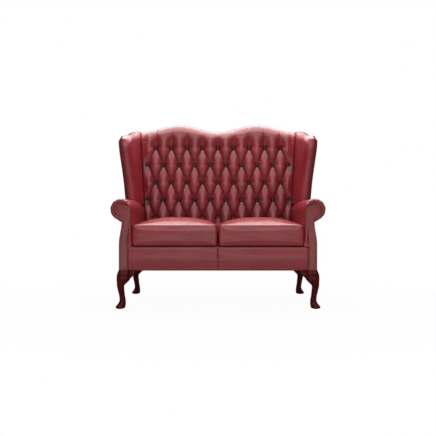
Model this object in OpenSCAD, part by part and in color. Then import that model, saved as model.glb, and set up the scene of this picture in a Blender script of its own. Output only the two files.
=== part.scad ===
/* [Seat] */
// Clear width between the two arms
seat_w = 1000; // [900:1:1200]
// Depth from the front of the arms to the buttons of the back, at seat height
seat_d = 565; // [540:1:600]
// Height of the legs
leg_h = 221; // [205:1:240]
// Height of the front border above the legs
border_h = 137; // [128:1:150]
// Thickness of a seat cushion at its edges
cushion_h = 122; // [105:1:135]
// Rise of the crown of a seat cushion over its edges
crown_h = 47; // [30:1:60]
// Gap between the two seat cushions
cushion_gap = 10; // [4:1:24]
// How far the sides of a cushion are drawn in between its corners
draw_in = 5; // [2:0.5:9]
// Thickness of the leather and wadding round the foam core of a cushion
cover_t = 11; // [8:0.5:14]

/* [Arms] */
// Width of an arm at its base
arm_t = 76; // [74:1:90]
// Height of the arms
arm_top = 638; // [620:1:660]
// Radius of the roll on top of an arm
roll_r = 63; // [60:1:66]
// How far the waist under the roll is drawn in from the base of the arm
waist_in = 15; // [8:1:18]
// Thickness of the padding on the inside of an arm
arm_pad_t = 13; // [9:0.5:16]
// Thickness of the nailed facing on the front of an arm
facing_t = 6.7; // [5:0.1:8]

/* [Back] */
// Lean of the back from upright, in degrees
recline = 8; // [6:0.5:11]
// Height of the two humps of the crest
crest_top = 1170; // [1140:1:1200]
// Depth of the dips of the crest under its humps
crest_wave = 50; // [30:1:60]
// Buttons in the longest odd row
tufts = 9; // [7:2:11]
// Rows of buttons
tuft_rows = 5; // [4:1:6]
// Height of the puffs between the buttons
puff = 28; // [18:1:32]
// Height of the lowest row of buttons over the edge of the cushions
first_row = 42; // [30:1:60]
// Drop of the highest row of buttons under the humps of the crest
last_row = 168; // [160:1:185]
// Diameter of a covered button
button_d = 19; // [15:0.5:22]

/* [Wings] */
// Lean of the wings outwards, in degrees
wing_lean = 4.4; // [3.5:0.1:5]
// How far the front edge of a wing stands out past its rear edge
wing_flare = 28; // [20:1:34]
// Height of the rear end of a wing
wing_top = 1129; // [1120:1:1140]
// Distance from the front of the arms to the front edge of the wings
wing_front = 400; // [385:1:415]

/* [Nails] */
// Diameter of a nail head
nail_d = 10.4; // [8:0.2:11]
// Distance between two nails
nail_pitch = 12; // [11.5:0.1:16]
// Length of a nail's shank
nail_shank = 5; // [4:0.5:6]

/* [Frame] */
// Thickness of the frame boards
board_t = 18; // [16:1:20]
// Width and depth of an arm rail
arm_rail_w = 40; // [34:1:44]
// Width of a back post
post_w = 40; // [32:1:44]
// Depth of the back posts and the rails between them
post_t = 35; // [30:1:38]
// Thickness of the outside panels
panel_t = 4; // [3:0.5:5]
// Depth from the buttons to the webbing behind the foam
foam_back = 81; // [76:1:90]
// Side of a corner block
block_w = 60; // [54:1:66]
// Diameter of the spring wire
wire_d = 3.8; // [3:0.1:4.4]
// Distance between two seat springs
spring_pitch = 122; // [100:1:150]
// Width of a strap of the back webbing
strap_w = 60; // [40:1:80]

/* [Legs] */
// Width of a leg at the knee
knee_w = 75; // [68:1:78]
// Width of a leg at the ankle
ankle_w = 34; // [28:1:40]
// Width of a foot
foot_w = 56; // [48:1:62]
// How far the foot stands out past the top of the leg, along x and along y
foot_out = 18.5; // [10:0.5:24]
// How much further back the ankle of a rear leg stands
rear_rake = 35; // [20:1:45]
// Diameter of a leg bolt
bolt_d = 8; // [6:1:10]
// Thickness of a glide under a foot
glide_t = 3; // [2:0.5:5]

/* [Hidden] */

leather = "#8e2430";
timber = "#c9a26b";
mahogany = "#3c0c0c";
brass = "#6e5c3c";
steel = "#9aa0a6";
foam = "#e8d9a0";
cloth = "#2a2a2a";

// Clearance of a soft piece or a loose fit
fit = 0.3;

// Heights: top of the deck, pivot of the back at the edge of the cushions, top of the seat rails
deck_z = leg_h + border_h;
back_z = deck_z + 2 + cushion_h;
pad_h = 16;
clip_t = 1.5;
rail_top = deck_z - pad_h - clip_t - fit;
cloth_t = 1.7;

// Plan of the arms, from the middle of the sofa outwards
arm_in = seat_w / 2 - 1;
arm_out = arm_in + arm_t;
side_x1 = arm_out - panel_t;
side_x0 = side_x1 - board_t;
post_in = arm_in + arm_pad_t + 0.5;
border_x = arm_in + 23;
roll_x = arm_in + roll_r;
roll_z = arm_top - roll_r;
neck_x = arm_out - waist_in;
neck_z = roll_z - 75;
neck_run = 125;

// Depths from the front plane of the facings
cap_y = facing_t + fit;
post_y = cap_y + 8;
rail_y = post_y + board_t;

// Depths of the back, square to its lean, from the plane of the buttons
skin_n = 22;
frame_n0 = foam_back + 3;
frame_n1 = frame_n0 + post_t;
rear_n = frame_n1 + fit + panel_t + 2;
top_n = 75;

// Rows and columns of buttons
tuft_w = seat_w / (tufts + 0.37);
row_t1 = (crest_top - last_row - back_z) / cos(recline);
tuft_h = (row_t1 - first_row) / (tuft_rows - 1);
foot_t = (deck_z + 4 - back_z + foam_back * sin(recline)) / cos(recline);
columns = 2 * tufts;

// Seat board at the back and the legs under the corners
back_rail_y = seat_d + 27;
leg_x = arm_out - 29;
leg_y = 33;
rear_leg_y = back_rail_y + board_t - 10;
bolt_in = 13;
bolt_deep = 45;
nut_h = bolt_d * 0.8;

// Wings
wing_base = arm_out - arm_in + 2;
wing_ref = seat_d + 135;
wing_low = roll_z + 37;
flare_rise = 0.028;

// The whole sofa is centred front to back on the origin
toe_y = leg_y - foot_out - foot_w / 2;
heel_t = (crest_top - 12 - back_z + rear_n * sin(recline)) / cos(recline);
mid_y = (toe_y + seat_d + heel_t * sin(recline) + rear_n * cos(recline)) / 2;

// Point of the back at depth n and distance t up its slope, and the slope distance of a height
function back_point(n, t) = [
    seat_d + t * sin(recline) + n * cos(recline), back_z + t * cos(recline) - n * sin(recline)
];
function slope_at(z, n) = (z - back_z + n * sin(recline)) / cos(recline);
function depth_at(z, n) = back_point(n, slope_at(z, n))[0];

// Half width of the back between the arms and, above them, between the wings
function pad_x(z) = arm_in - fit + tan(wing_lean) * max(0, z - arm_top - 4);

// Height of the crest, with two humps
function crest_z(x) = crest_top - crest_wave * (1 + cos(360 * x / pad_x(crest_top))) / 2;

// Outer and inner face of a wing
function wing_x(y, z) = arm_in + wing_base + tan(wing_lean) * (z - arm_top)
    + (wing_ref - y) / 300 * (wing_flare + flare_rise * (z - arm_top));
function wing_in(y, z) = pad_x(z) + 1 + 0.14 * max(0, depth_at(z, 0) - y);

// Front edge of a wing by its height and the line of its top by depth
function wing_edge(z) = wing_front + lookup((z - wing_low) / (wing_top - wing_low), [
    [0, -1], [0.27, 5], [0.46, -10], [0.65, -30], [0.79, -28], [0.86, -8], [1, 0]
]);
function wing_line(y) = wing_top + lookup(y - wing_front, [
    [-30, -99], [-5, -88], [15, -76], [44, -64], [166, -41], [300, 0], [400, 12]
]);

// Points along a path
function path_length(p, i = 0) = i >= len(p) - 1 ? 0 : norm(p[i + 1] - p[i]) + path_length(p, i + 1);
function path_point(p, s, i = 0) = let (l = norm(p[i + 1] - p[i]))
    s <= l || i >= len(p) - 2 ? p[i] + (p[i + 1] - p[i]) * s / l : path_point(p, s - l, i + 1);
function reversed(p) = [for (i = [len(p) - 1:-1:0]) p[i]];
function moved(p, v) = [for (q = p) q + v];

// Arc of a circle round the middle of the arm's roll
function roll_arc(r, a0, a1, n = 30) = [
    for (i = [0:n]) let (a = a0 + (a1 - a0) * i / n) [roll_x + r * cos(a), roll_z + r * sin(a)]
];
neck_to = [neck_x - roll_x, neck_z - roll_z];
roll_from = atan2(neck_to[1], neck_to[0]) + acos(roll_r / norm(neck_to));

// Outside of the arm from its base to the waist
arm_curve = [
    for (i = [0:5]) let (s = i / 5)
        [arm_out - waist_in * (3 * s * s - 2 * s * s * s), neck_z - neck_run * (1 - s)]
];
arm_front = concat(
    [[border_x + fit, leg_h], [arm_out, leg_h]], arm_curve, roll_arc(roll_r, roll_from, 180),
    [[arm_in, deck_z + fit], [border_x + fit, deck_z + fit]]
);
arm_padding = concat(
    [
        [arm_in, deck_z - pad_h], [arm_in + arm_pad_t, deck_z - pad_h], [arm_in + arm_pad_t, neck_z],
        [arm_in + 2 * arm_pad_t, neck_z + 15], [neck_x - 8, neck_z + 12], [neck_x, neck_z + fit]
    ],
    roll_arc(roll_r, roll_from, 180)
);
function arm_board(gap) = concat(
    [[post_in - gap, leg_h - gap], [side_x1 - 0.5 + gap, leg_h - gap]],
    moved(arm_curve, [gap - panel_t - 0.5, 0]), roll_arc(roll_x - post_in + gap, roll_from, 180)
);

// Line of nails round the facing of an arm
nail_line = [
    [arm_out - 9, leg_h + 7], [arm_out - 9, neck_z - 107], [arm_out - 17, neck_z - 63],
    [arm_out - 26, neck_z - 18], [arm_out - 27, neck_z + 6], [roll_x - 6, roll_z - 49],
    [roll_x + 14, roll_z - 29], [roll_x + 29, roll_z - 12], [roll_x + 31, roll_z + 4],
    [roll_x + 22, roll_z + 15], [roll_x - 4, roll_z + 20], [roll_x - 33, roll_z + 13],
    [roll_x - 46, roll_z - 7], [roll_x - 48, roll_z - 36], [arm_in + 18, neck_z - 5],
    [arm_in + 24.5, neck_z - 49], [arm_in + 32, neck_z - 89], [arm_in + 34, neck_z - 151],
    [arm_in + 33, leg_h + 7]
];

// Sections of a leg: height, distance out of its top, half width and squareness
leg_low = glide_t;
function leg_sections() = [
    [leg_low, foot_out + 2, foot_w * 0.4, 2],
    [leg_low + 1.5, foot_out + 2, foot_w * 0.48, 2],
    [leg_low + 10, foot_out, foot_w / 2, 2],
    [31, foot_out * 0.6, ankle_w / 2 + 4.6, 2],
    [44, foot_out * 0.46, ankle_w / 2 + 1.5, 2],
    [58, foot_out * 0.5, ankle_w / 2 + 0.5, 2],
    [75, foot_out * 0.62, ankle_w / 2, 2.2],
    [106, foot_out * 0.86, ankle_w / 2 + 1.8, 2.6],
    [leg_h - 88, foot_out, ankle_w / 2 + 4, 3],
    [leg_h - 71, foot_out * 0.62, knee_w * 0.39, 3.6],
    [leg_h - 53, foot_out * 0.25, knee_w / 2, 5],
    [leg_h - 26, foot_out * 0.19, knee_w * 0.487, 6],
    [leg_h, 0, knee_w * 0.42, 8]
];
function leg_ring(s, rake, way) = [
    for (i = [0:15]) let (
        a = 22.5 * i, r = s[2] / pow(pow(abs(cos(a)), s[3]) + pow(abs(sin(a)), s[3]), 1 / s[3])
    ) [s[1] + r * cos(a), way * s[1] + rake * pow(1 - s[0] / leg_h, 1.3) + r * sin(a), s[0]]
];

// Puffs of the back: lattice of buttons, creases between them and upright pleats past the rows
function puff_at(x, t) = let (
    u = min(max(t, first_row), row_t1),
    a = x / tuft_w + (u - first_row) / (2 * tuft_h),
    b = x / tuft_w - (u - first_row) / (2 * tuft_h),
    bulge = sqrt(abs(sin(180 * a) * sin(180 * b))),
    tie = pow(cos(180 * a) * cos(180 * b), 2),
    past = min(1, max(0, t - row_t1, first_row - t) / 60)
) puff * (0.7 * bulge + 0.3 * (1 - tie * (1 - 0.6 * past)));
puffs_x = columns * tuft_w / 4;
function side_fall(x, z) = let (s = max(0, (abs(x) - puffs_x + 12) / (pad_x(z) - puffs_x + 12)))
    (skin_n + 4) * s * s;
function column_x(j, z) = let (k = j - columns - 2)
    abs(k) <= columns ? k * tuft_w / 4 : sign(k) * (puffs_x + (pad_x(z) - puffs_x) * (abs(k) - columns) / 2);

function crest_t(x) = slope_at(crest_z(x), top_n);
function rail_crest_t(x) = crest_t(x) - 30;
crest_xs = [for (k = [-columns:columns]) k * tuft_w / 4];

// One upright slice of the tufted back, from its foot up the rear, over the crest and down the front
function pad_point(j, n, t, puffed) = let (
    z = back_point(n, t)[1], x = column_x(j, z), fade = 1 - min(1, side_fall(x, z) / (skin_n + 4))
) [x, puffed ? -puff_at(x, t) * fade + min(side_fall(x, z), skin_n - 4) : n, t];
function pad_slice(j) = let (
    x = column_x(j, crest_top), top = crest_t(x), rail = rail_crest_t(x),
    pleat = 1 - abs(sin(180 * x / tuft_w)), upper = top - 56
) concat(
    [for (t = [foot_t, slope_at(arm_top + 4, skin_n), rail]) pad_point(j, skin_n, t, false)],
    [pad_point(j, frame_n1, rail, false), pad_point(j, frame_n1, top - 24, false)],
    [
        for (q = [[frame_n1 - 22, 2, 0], [50, 1, 0], [14, 12, 5], [-8, 32, 10]])
            pad_point(j, q[0] + q[2] * pleat, top - q[1] - 7 * pleat, false)
    ],
    [for (i = [2:-1:1]) pad_point(j, 0, row_t1 + (upper - row_t1) * i / 2, true)],
    [for (i = [4 * (tuft_rows - 1):-1:0]) pad_point(j, 0, first_row + i * tuft_h / 4, true)],
    [for (i = [1:2]) pad_point(j, 0, first_row + (foot_t - first_row) * i / 2, true)]
);

// Padded face of a wing at a depth and height, some way behind its front edge, inside -1 or outside 1
wing_nose = 40;
function wing_face(p, back, way, thick) = let (
    outer = wing_x(p[0], p[1]) - panel_t - fit, inner = wing_in(p[0], p[1]), run = min(1, back / wing_nose)
) (outer + inner) / 2 + way * (outer - inner) / 2 * thick * max(0.3, sqrt(1 - pow(1 - run, 2)));

// One ring of a wing: share of its height, drop under its top line, share of its thickness
wing_steps = 9;
function wing_row(f, drop, s) = let (
    y0 = wing_edge(wing_low + f * (wing_line(wing_front) - drop - wing_low)),
    y1 = depth_at(wing_low + f * (wing_top - wing_low), frame_n1),
    y = y0 + (y1 - y0) * s
) [y, wing_low + f * (wing_line(y) - drop - wing_low)];
function wing_share(k) = k < 5 ? [0, 0.012, 0.035, 0.07, 0.13][k] : 0.13 + 0.87 * (k - 4) / (wing_steps - 4);
function wing_ring(f, drop, thick) = [
    for (way = [-1, 1], i = [0:wing_steps]) let (
        k = way < 0 ? wing_steps - i : i, p = wing_row(f, drop, wing_share(k))
    ) [wing_face(p, p[0] - wing_row(f, drop, 0)[0], way, thick), p[0], p[1]]
];
function outside_wing_ring(f, drop) = [
    for (way = [-1, 1], i = [0:wing_steps]) let (
        k = way < 0 ? wing_steps - i : i, p = wing_row(f, drop, 0.07 + 0.93 * k / wing_steps)
    ) [wing_x(p[0], p[1]) + (way < 0 ? -panel_t : 0), p[0], p[1]]
];

// Plane of the board in a wing
function wing_board_x(y, z) =
    arm_in + wing_base - 12 + tan(wing_lean) * (z - arm_top) + wing_flare / 300 * (wing_ref - y);
wing_board_line = [
    [wing_front + 35, roll_z + arm_rail_w / 2],
    [depth_at(roll_z + arm_rail_w / 2, frame_n0), roll_z + arm_rail_w / 2],
    [depth_at(wing_top - 44, frame_n0), wing_top - 44],
    [wing_front + 62, wing_top - 109], [wing_front + 12, wing_top - 144]
];

// Section of a cushion at a share v of its depth, from -1 at the front to 1 at the back
cushion_w = arm_in - 0.6 - cushion_gap / 2;
cushion_x = (arm_in - 0.6 + cushion_gap / 2) / 2;
cushion_z = deck_z + 2;
cushion_y0 = 4;
cushion_y1 = back_point(-puff, foot_t)[0] - 1;
cushion_d = cushion_y1 - cushion_y0;
function swell(s) = 1 - pow(abs(s), 2.6);
function cushion_ring(v, inset) = let (
    bulge = 2.5,
    half = cushion_w / 2 - bulge - inset - draw_in * (1 - v * v),
    us = [for (i = [0:12]) -1 + i / 6],
    low = 0.28 * cushion_h,
    upper = concat(
        [[-half - bulge, cushion_h - low]],
        [for (u = us) [u * half, cushion_h - inset + crown_h * swell(u) * swell(v)]],
        [[half + bulge, cushion_h - low]]
    ),
    lower = concat([[half + bulge, low]], [for (u = reversed(us)) [u * half, inset]], [[-half - bulge, low]])
) [
    for (p = concat(upper, lower)) let (u = min(1, abs(p[0]) / half))
        [p[0], cushion_d / 2 * v - sign(v) * draw_in * pow(abs(v), 8) * (1 - u * u), p[1]]
];

module centred() {
    translate([0, -mid_y, 0]) children();
}

module on_side(s) {
    centred() {
        if (s < 0) mirror([1, 0, 0]) children();
        else children();
    }
}

module leaned() {
    translate([0, seat_d, back_z]) rotate([-recline, 0, 0]) children();
}

// Board with its outline seen from the front, between two depths
module slab(y0, y1) {
    translate([0, y1, 0]) rotate([90, 0, 0]) linear_extrude(y1 - y0) children();
}

// Board with its outline seen from the side, between two distances from the middle
module cheek(x0, x1) {
    translate([x0, 0, 0]) rotate([90, 0, 90]) linear_extrude(x1 - x0) children();
}

// All that lies behind a plane of the back
module behind(n) {
    leaned() translate([-1500, n, -1500]) cube([3000, 900, 3500]);
}

// Triangles from one corner of a ring to a run of the others
function fan(apex, from, to) = [for (i = [from:to - 1]) [apex, i, i + 1]];

// Closed skin over a stack of rings, with its ends closed by given triangles or as a ladder
module skin(rings, cap = []) {
    n = len(rings[0]);
    m = len(rings);
    sides = [
        for (j = [0:m - 2], i = [0:n - 1]) let (k = (i + 1) % n)
            each [[j * n + i, (j + 1) * n + i, (j + 1) * n + k], [j * n + i, (j + 1) * n + k, j * n + k]]
    ];
    ladder = [
        for (i = [0:n / 2 - 2]) each [[i, i + 1, n - 1 - i], [i + 1, n - 2 - i, n - 1 - i]]
    ];
    first = len(cap) == 0 ? ladder : cap;
    last = [for (f = first) [for (i = [2:-1:0]) f[i] + (m - 1) * n]];
    polyhedron([for (r = rings) each r], concat(sides, first, last));
}

module front_rail() {
    color(timber) centred() translate([-post_in, post_y, leg_h])
        cube([2 * post_in, board_t, rail_top - leg_h]);
}

module side_rail(s) {
    color(timber) on_side(s) difference() {
        translate([side_x0, rail_y, leg_h]) cube([board_t, seat_d + 200, rail_top - leg_h]);
        behind(frame_n1);
    }
}

module back_rail() {
    color(timber) centred() translate([-side_x0, back_rail_y, leg_h])
        cube([2 * side_x0, board_t, rail_top - leg_h]);
}

module centre_rail() {
    drop = 25;
    color(timber) centred() translate([-board_t / 2, rail_y, leg_h])
        cube([board_t, back_rail_y - rail_y, rail_top - leg_h - drop]);
}

function bolt_spots() = [
    [leg_x - bolt_in, leg_y + bolt_in + 4], [leg_x - bolt_in, rear_leg_y - bolt_in - 4]
];

module corner_blocks() {
    color(timber) for (s = [-1, 1]) on_side(s) for (p = [
        [bolt_spots()[0], rail_y], [bolt_spots()[1], back_rail_y - block_w]
    ]) difference() {
        translate([side_x0 - block_w, p[1], leg_h]) cube(block_w);
        translate([p[0][0], p[0][1], leg_h - 1]) cylinder(d = bolt_d + 0.8, h = block_w + 2, $fn = 32);
    }
}

module arm_post(s) {
    color(timber) on_side(s) slab(post_y, rail_y) polygon(arm_board(0));
}

module arm_rail(s) {
    color(timber) on_side(s) difference() {
        translate([roll_x - arm_rail_w / 2, rail_y, roll_z - arm_rail_w / 2])
            cube([arm_rail_w, seat_d + 200, arm_rail_w]);
        behind(frame_n0);
    }
}

// Outline of a back post, upright between the side rails and leaning out with the wings above
post_lean = 0.85 * tan(wing_lean);
// Room that the pads leave for the ends of the rails between the posts
rail_end = 30;
function post_inner(t) = side_x0 - post_w + max(0, t) * post_lean;
post_high = slope_at(wing_top - 34, frame_n0);
function post_line(gap, rails = 0) = let (low = slope_at(leg_h, frame_n1) - gap, high = post_high + gap) [
    [post_inner(0) - gap - rails, low], [side_x0 + gap, low], [side_x0 + gap, 0],
    [side_x0 + high * post_lean + gap, high], [post_inner(high) - gap - rails, high],
    [post_inner(0) - gap - rails, 0]
];

module back_post(s) {
    color(timber) on_side(s) union() {
        leaned() slab(frame_n0, frame_n1) polygon(post_line(0));
        difference() {
            translate([side_x0 - post_w + 2, back_rail_y + board_t, leg_h])
                cube([post_w - 4, post_t, rail_top - leg_h]);
            behind(frame_n0 + post_t / 2);
        }
    }
}

// Rail between the back posts, from one slope distance to another
cross_rail_w = 60;
module back_cross_rail(t0, t1) {
    color(timber) centred() leaned() slab(frame_n0, frame_n1) polygon([
        [-post_inner(t0), t0], [post_inner(t0), t0], [post_inner(t1), t1], [-post_inner(t1), t1]
    ]);
}

module crest_rail() {
    deep = 95;
    low = min(crest_t(0), post_high + deep / 2) - deep;
    gap = 1.2;
    top = [for (j = [2 * columns + 3:-1:1]) let (x = column_x(j, crest_top)) [x, rail_crest_t(x) - gap]];
    end = min(rail_crest_t(pad_x(crest_top)) - gap, post_high);
    color(timber) centred() leaned() slab(frame_n0, frame_n1) polygon(concat(
        [[-post_inner(low), low], [post_inner(low), low], [post_inner(end), end]], top,
        [[-post_inner(end), end]]
    ));
}

module middle_back_rail() {
    t = row_t1 / 2 + first_row;
    back_cross_rail(t - cross_rail_w / 2, t + cross_rail_w / 2);
}

module lower_back_rail() {
    low = foot_t + 3;
    back_cross_rail(low, low + cross_rail_w);
}

// Flat board in a wing, grown by a gap all round
module wing_plate(gap) {
    mid = [(wing_front + seat_d) / 2 + 78, (wing_top + roll_z) / 2];
    line = [for (p = wing_board_line) p + (p - mid) * 1.6 * gap / norm(p - mid)];
    skin([
        for (w = [-board_t - gap, gap]) [for (p = line) [wing_board_x(p[0], p[1]) + w, p[0], p[1]]]
    ], fan(0, 1, len(line) - 1));
}

module wing_board(s) {
    color(timber) on_side(s) wing_plate(0);
}

// Wavy spring lying front to back, as one flat outline
spring_y0 = rail_y + clip_t + 0.5;
spring_y1 = back_rail_y - clip_t - 0.5;
waves = round((spring_y1 - spring_y0) / 46);
spring_wave = 21;
function spring_mid(s) = [spring_wave * sin(360 * waves * s), spring_y0 + (spring_y1 - spring_y0) * s];
function spring_side(w) = [
    for (i = [0:8 * waves]) let (
        s = i / (8 * waves), d = spring_mid(s + 0.001) - spring_mid(s - 0.001), q = d / norm(d)
    ) [spring_mid(s)[0] + w * q[1], min(max(spring_mid(s)[1] - w * q[0], spring_y0), spring_y1)]
];
spring_edge = 61;
spring_n = ceil((side_x0 - spring_edge) / spring_pitch - 0.5);
spring_xs = [for (i = [-spring_n:spring_n]) if (i != 0) i * (side_x0 - spring_edge) / spring_n];

module seat_springs() {
    color(steel) centred() for (x = spring_xs) translate([x, 0, rail_top - wire_d])
        linear_extrude(wire_d) polygon(concat(spring_side(wire_d / 2), reversed(spring_side(-wire_d / 2))));
}

// Clip with a tongue over the rail and a jaw round the end of the spring
clip_line = [
    [-16, 0], [-16, clip_t], [9, clip_t], [9, 0], [clip_t + 0.2, 0], [clip_t + 0.2, -wire_d],
    [9, -wire_d], [9, -wire_d - clip_t], [0.2, -wire_d - clip_t], [0.2, 0]
];

module spring_clips() {
    clip_w = 18;
    color(steel) centred() for (x = spring_xs) translate([0, 0, rail_top]) {
        translate([0, rail_y, 0]) cheek(x - clip_w / 2, x + clip_w / 2) polygon(clip_line);
        translate([0, back_rail_y, 0]) mirror([0, 1, 0])
            cheek(x - clip_w / 2, x + clip_w / 2) polygon(clip_line);
    }
}

module back_webbing() {
    straps = floor(2 * post_inner(0) / (2 * strap_w));
    step = 2 * (post_inner(0) - 15) / straps;
    color(cloth) centred() leaned() for (i = [0:straps - 1]) {
        x = -post_inner(0) + 15 + step * (i + 0.5);
        translate([x - strap_w / 2, foam_back + fit, foot_t + 8])
            cube([strap_w, 3 - fit, crest_t(0) - 40 - foot_t]);
    }
}

module back_foam() {
    n0 = skin_n + fit;
    n1 = foam_back - 0.2;
    low = pad_x(back_z) - 3;
    knee_t = slope_at(arm_top + 4, n0);
    end_x = crest_xs[len(crest_xs) - 1];
    end_t = rail_crest_t(end_x) - 0.6;
    high = pad_x(back_point(n1, end_t)[1]) - 3;
    color(foam) centred() leaned() slab(n0, n1) polygon(concat(
        [[-low, foot_t], [low, foot_t], [low, knee_t], [high, end_t - 20]],
        [for (x = reversed(crest_xs)) [x, rail_crest_t(x) - 0.6]],
        [[-high, end_t - 20], [-low, knee_t]]
    ));
}

module tufted_back() {
    slices = [for (j = [0:2 * columns + 4]) pad_slice(j)];
    last = len(slices[0]) - 1;
    knee = last - 2 - round((slope_at(arm_top + 4, 0) - first_row) * 4 / tuft_h);
    color(leather) centred() leaned()
        skin(slices, concat(fan(2, 3, knee), [[1, 2, knee]], fan(1, knee, last), [[1, last, 0]]));
}

// Spots of the buttons: odd rows have one on the middle line, even rows one to each side of it
button_spots = [
    for (r = [0:tuft_rows - 1]) let (shift = r % 2 == 0 ? 0 : 0.5, k1 = floor(tufts / 2) + shift)
        for (k = [-k1:1:k1]) [k * tuft_w, first_row + r * tuft_h]
];

module back_buttons() {
    color(leather) centred() leaned() for (p = button_spots) translate([p[0], 0, p[1]]) rotate([90, 0, 0]) {
        cylinder(d = button_d, h = 3.5, $fn = 24);
        translate([0, 0, 3.5]) cylinder(d1 = button_d, d2 = button_d * 0.55, h = 3, $fn = 24);
    }
}

// Outside of the back, from the base up past the arms and wings to the crest
module outside_back() {
    side = concat(
        [[arm_out, leg_h]], arm_curve,
        [for (z = [arm_top, wing_top - 14]) [wing_x(wing_ref, z) - 1, z]]
    );
    crest = [
        for (k = [columns + 1:-1:0]) let (x = k * pad_x(crest_top) / (columns + 1)) [x, crest_z(x) - 12]
    ];
    right = concat(side, crest);
    all = concat(right, [for (p = reversed(right)) if (p[0] > 0.001) [-p[0], p[1]]]);
    n0 = frame_n1 + fit;
    color(leather) centred() leaned() slab(n0, rear_n) polygon([
        for (p = all) [p[0], max(slope_at(leg_h, rear_n), slope_at(p[1], rear_n))]
    ]);
}

module seat_pad() {
    z0 = rail_top + clip_t + fit;
    color(foam) centred() translate([fit - arm_in, post_y + fit, z0])
        cube([2 * (arm_in - fit), back_rail_y - post_y + board_t - 4, deck_z - z0]);
}

module platform_cloth() {
    color(cloth) centred() translate([fit - arm_in, post_y + fit, deck_z])
        cube([2 * (arm_in - fit), back_rail_y - post_y + board_t - 4, cloth_t]);
}

// Padded border under the cushions, with a seam in the middle
module front_border() {
    groove = 3;
    color(leather) centred() difference() {
        cheek(-border_x, border_x) polygon([
            [post_y - fit, leg_h], [7, leg_h], [3.6, leg_h + 12], [2, leg_h + border_h * 0.35],
            [1.6, leg_h + border_h * 0.6], [3.4, deck_z - 14], [7, deck_z - 3], [post_y - fit, deck_z]
        ]);
        translate([0, 0, leg_h - 1]) rotate([0, 0, 45])
            translate([-groove, -groove, 0]) cube([2 * groove, 2 * groove, border_h + 2]);
    }
}

// Padding of an arm: inside face, roll and gathered front, on its post, rails and wing board
module arm_pad(s) {
    color(leather) on_side(s) difference() {
        union() {
            slab(cap_y, post_y - fit) polygon(arm_front);
            slab(post_y - fit, seat_d + 260) polygon(arm_padding);
        }
        slab(post_y - fit, rail_y + fit) polygon(arm_board(fit));
        difference() {
            translate([roll_x - arm_rail_w / 2 - fit, post_y, roll_z - arm_rail_w / 2 - fit])
                cube([arm_rail_w + 2 * fit, seat_d + 300, arm_rail_w + 2 * fit]);
            behind(frame_n0 + fit);
        }
        leaned() slab(frame_n0 - fit, frame_n1 + 40) polygon(post_line(fit, rail_end));
        wing_plate(0.4);
        behind(frame_n1);
    }
}

module outside_arm(s) {
    line = concat([[side_x1, leg_h], [arm_out, leg_h]], arm_curve, moved(reversed(arm_curve), [-panel_t, 0]));
    color(leather) on_side(s) difference() {
        slab(post_y, seat_d + 260) polygon(line);
        behind(frame_n1);
    }
}

module arm_facing(s) {
    color(leather) on_side(s) slab(0, facing_t) offset(r = 7, $fn = 24) polygon(nail_line);
}

// Nail with its head outwards along +z and its shank behind
module nail() {
    cylinder(d1 = nail_d, d2 = nail_d * 0.5, h = 2.8, $fn = 20);
    translate([0, 0, -nail_shank]) cylinder(d = 1.8, h = nail_shank + 1, $fn = 16);
}

module arm_nails(s) {
    line = concat(nail_line, [nail_line[0]]);
    count = floor(path_length(line) / nail_pitch);
    color(brass) on_side(s) for (i = [0:count - 1]) {
        p = path_point(line, path_length(line) * i / count);
        translate([p[0], -0.05, p[1]]) rotate([90, 0, 0]) nail();
    }
}

module roll_space() {
    translate([roll_x, 0, roll_z]) rotate([-90, 0, 0])
        cylinder(r = roll_r + fit, h = seat_d + 300, $fn = 96);
}

module wing_pad(s) {
    shoulder = 30;
    rows = concat(
        [for (i = [0:9]) wing_ring(i / 9, shoulder, 1)],
        [for (q = [[14, 0.94], [5, 0.8], [0, 0.5]]) wing_ring(1, q[0], q[1])]
    );
    color(leather) on_side(s) difference() {
        skin(rows);
        roll_space();
        wing_plate(fit);
        leaned() slab(frame_n0 - fit, frame_n1 + 40) polygon(post_line(fit, rail_end));
        behind(frame_n1);
    }
}

module outside_wing(s) {
    color(leather) on_side(s) difference() {
        skin([for (i = [0:9]) outside_wing_ring(i / 9, 20)]);
        roll_space();
        behind(frame_n1);
    }
}

// Nails up the front edge of a wing and back along its top
module wing_nails(s) {
    in = 9;
    sink = 0.5;
    up_from = arm_top + 8;
    up_to = wing_line(wing_front) - 12;
    y_to = depth_at(wing_top, frame_n0) - 12;
    edge = [for (i = [0:12]) let (z = up_from + (up_to - up_from) * i / 12) [wing_edge(z) + in, z]];
    y_from = wing_front + 14;
    top = [for (i = [0:10]) let (y = y_from + (y_to - y_from) * i / 10) [y, wing_line(y) - in]];
    color(brass) on_side(s) {
        for (i = [0:floor(path_length(edge) / nail_pitch)]) {
            p = path_point(edge, i * nail_pitch);
            translate([wing_face(p, in, 1, 1) - sink, p[0], p[1]]) rotate([90, 0, 38]) nail();
        }
        for (i = [0:floor(path_length(top) / nail_pitch)]) {
            p = path_point(top, i * nail_pitch);
            translate([wing_face(p, p[0] - wing_front, 1, 0.86) - sink, p[0], p[1]])
                rotate([0, 55, 0]) nail();
        }
    }
}

module cushion_place(s) {
    on_side(s) translate([cushion_x, (cushion_y0 + cushion_y1) / 2, cushion_z]) children();
}

// Foam core of a cushion, its rest over the deck, and the closing strip behind it
core = [cushion_w - 2 * cover_t - 2 * draw_in, cushion_d - 2 * cover_t, cushion_h - 2 * cover_t + 6];
core_z = cover_t - 3;
closing_w = cushion_w * 0.8;
closing_h = 22;

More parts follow.
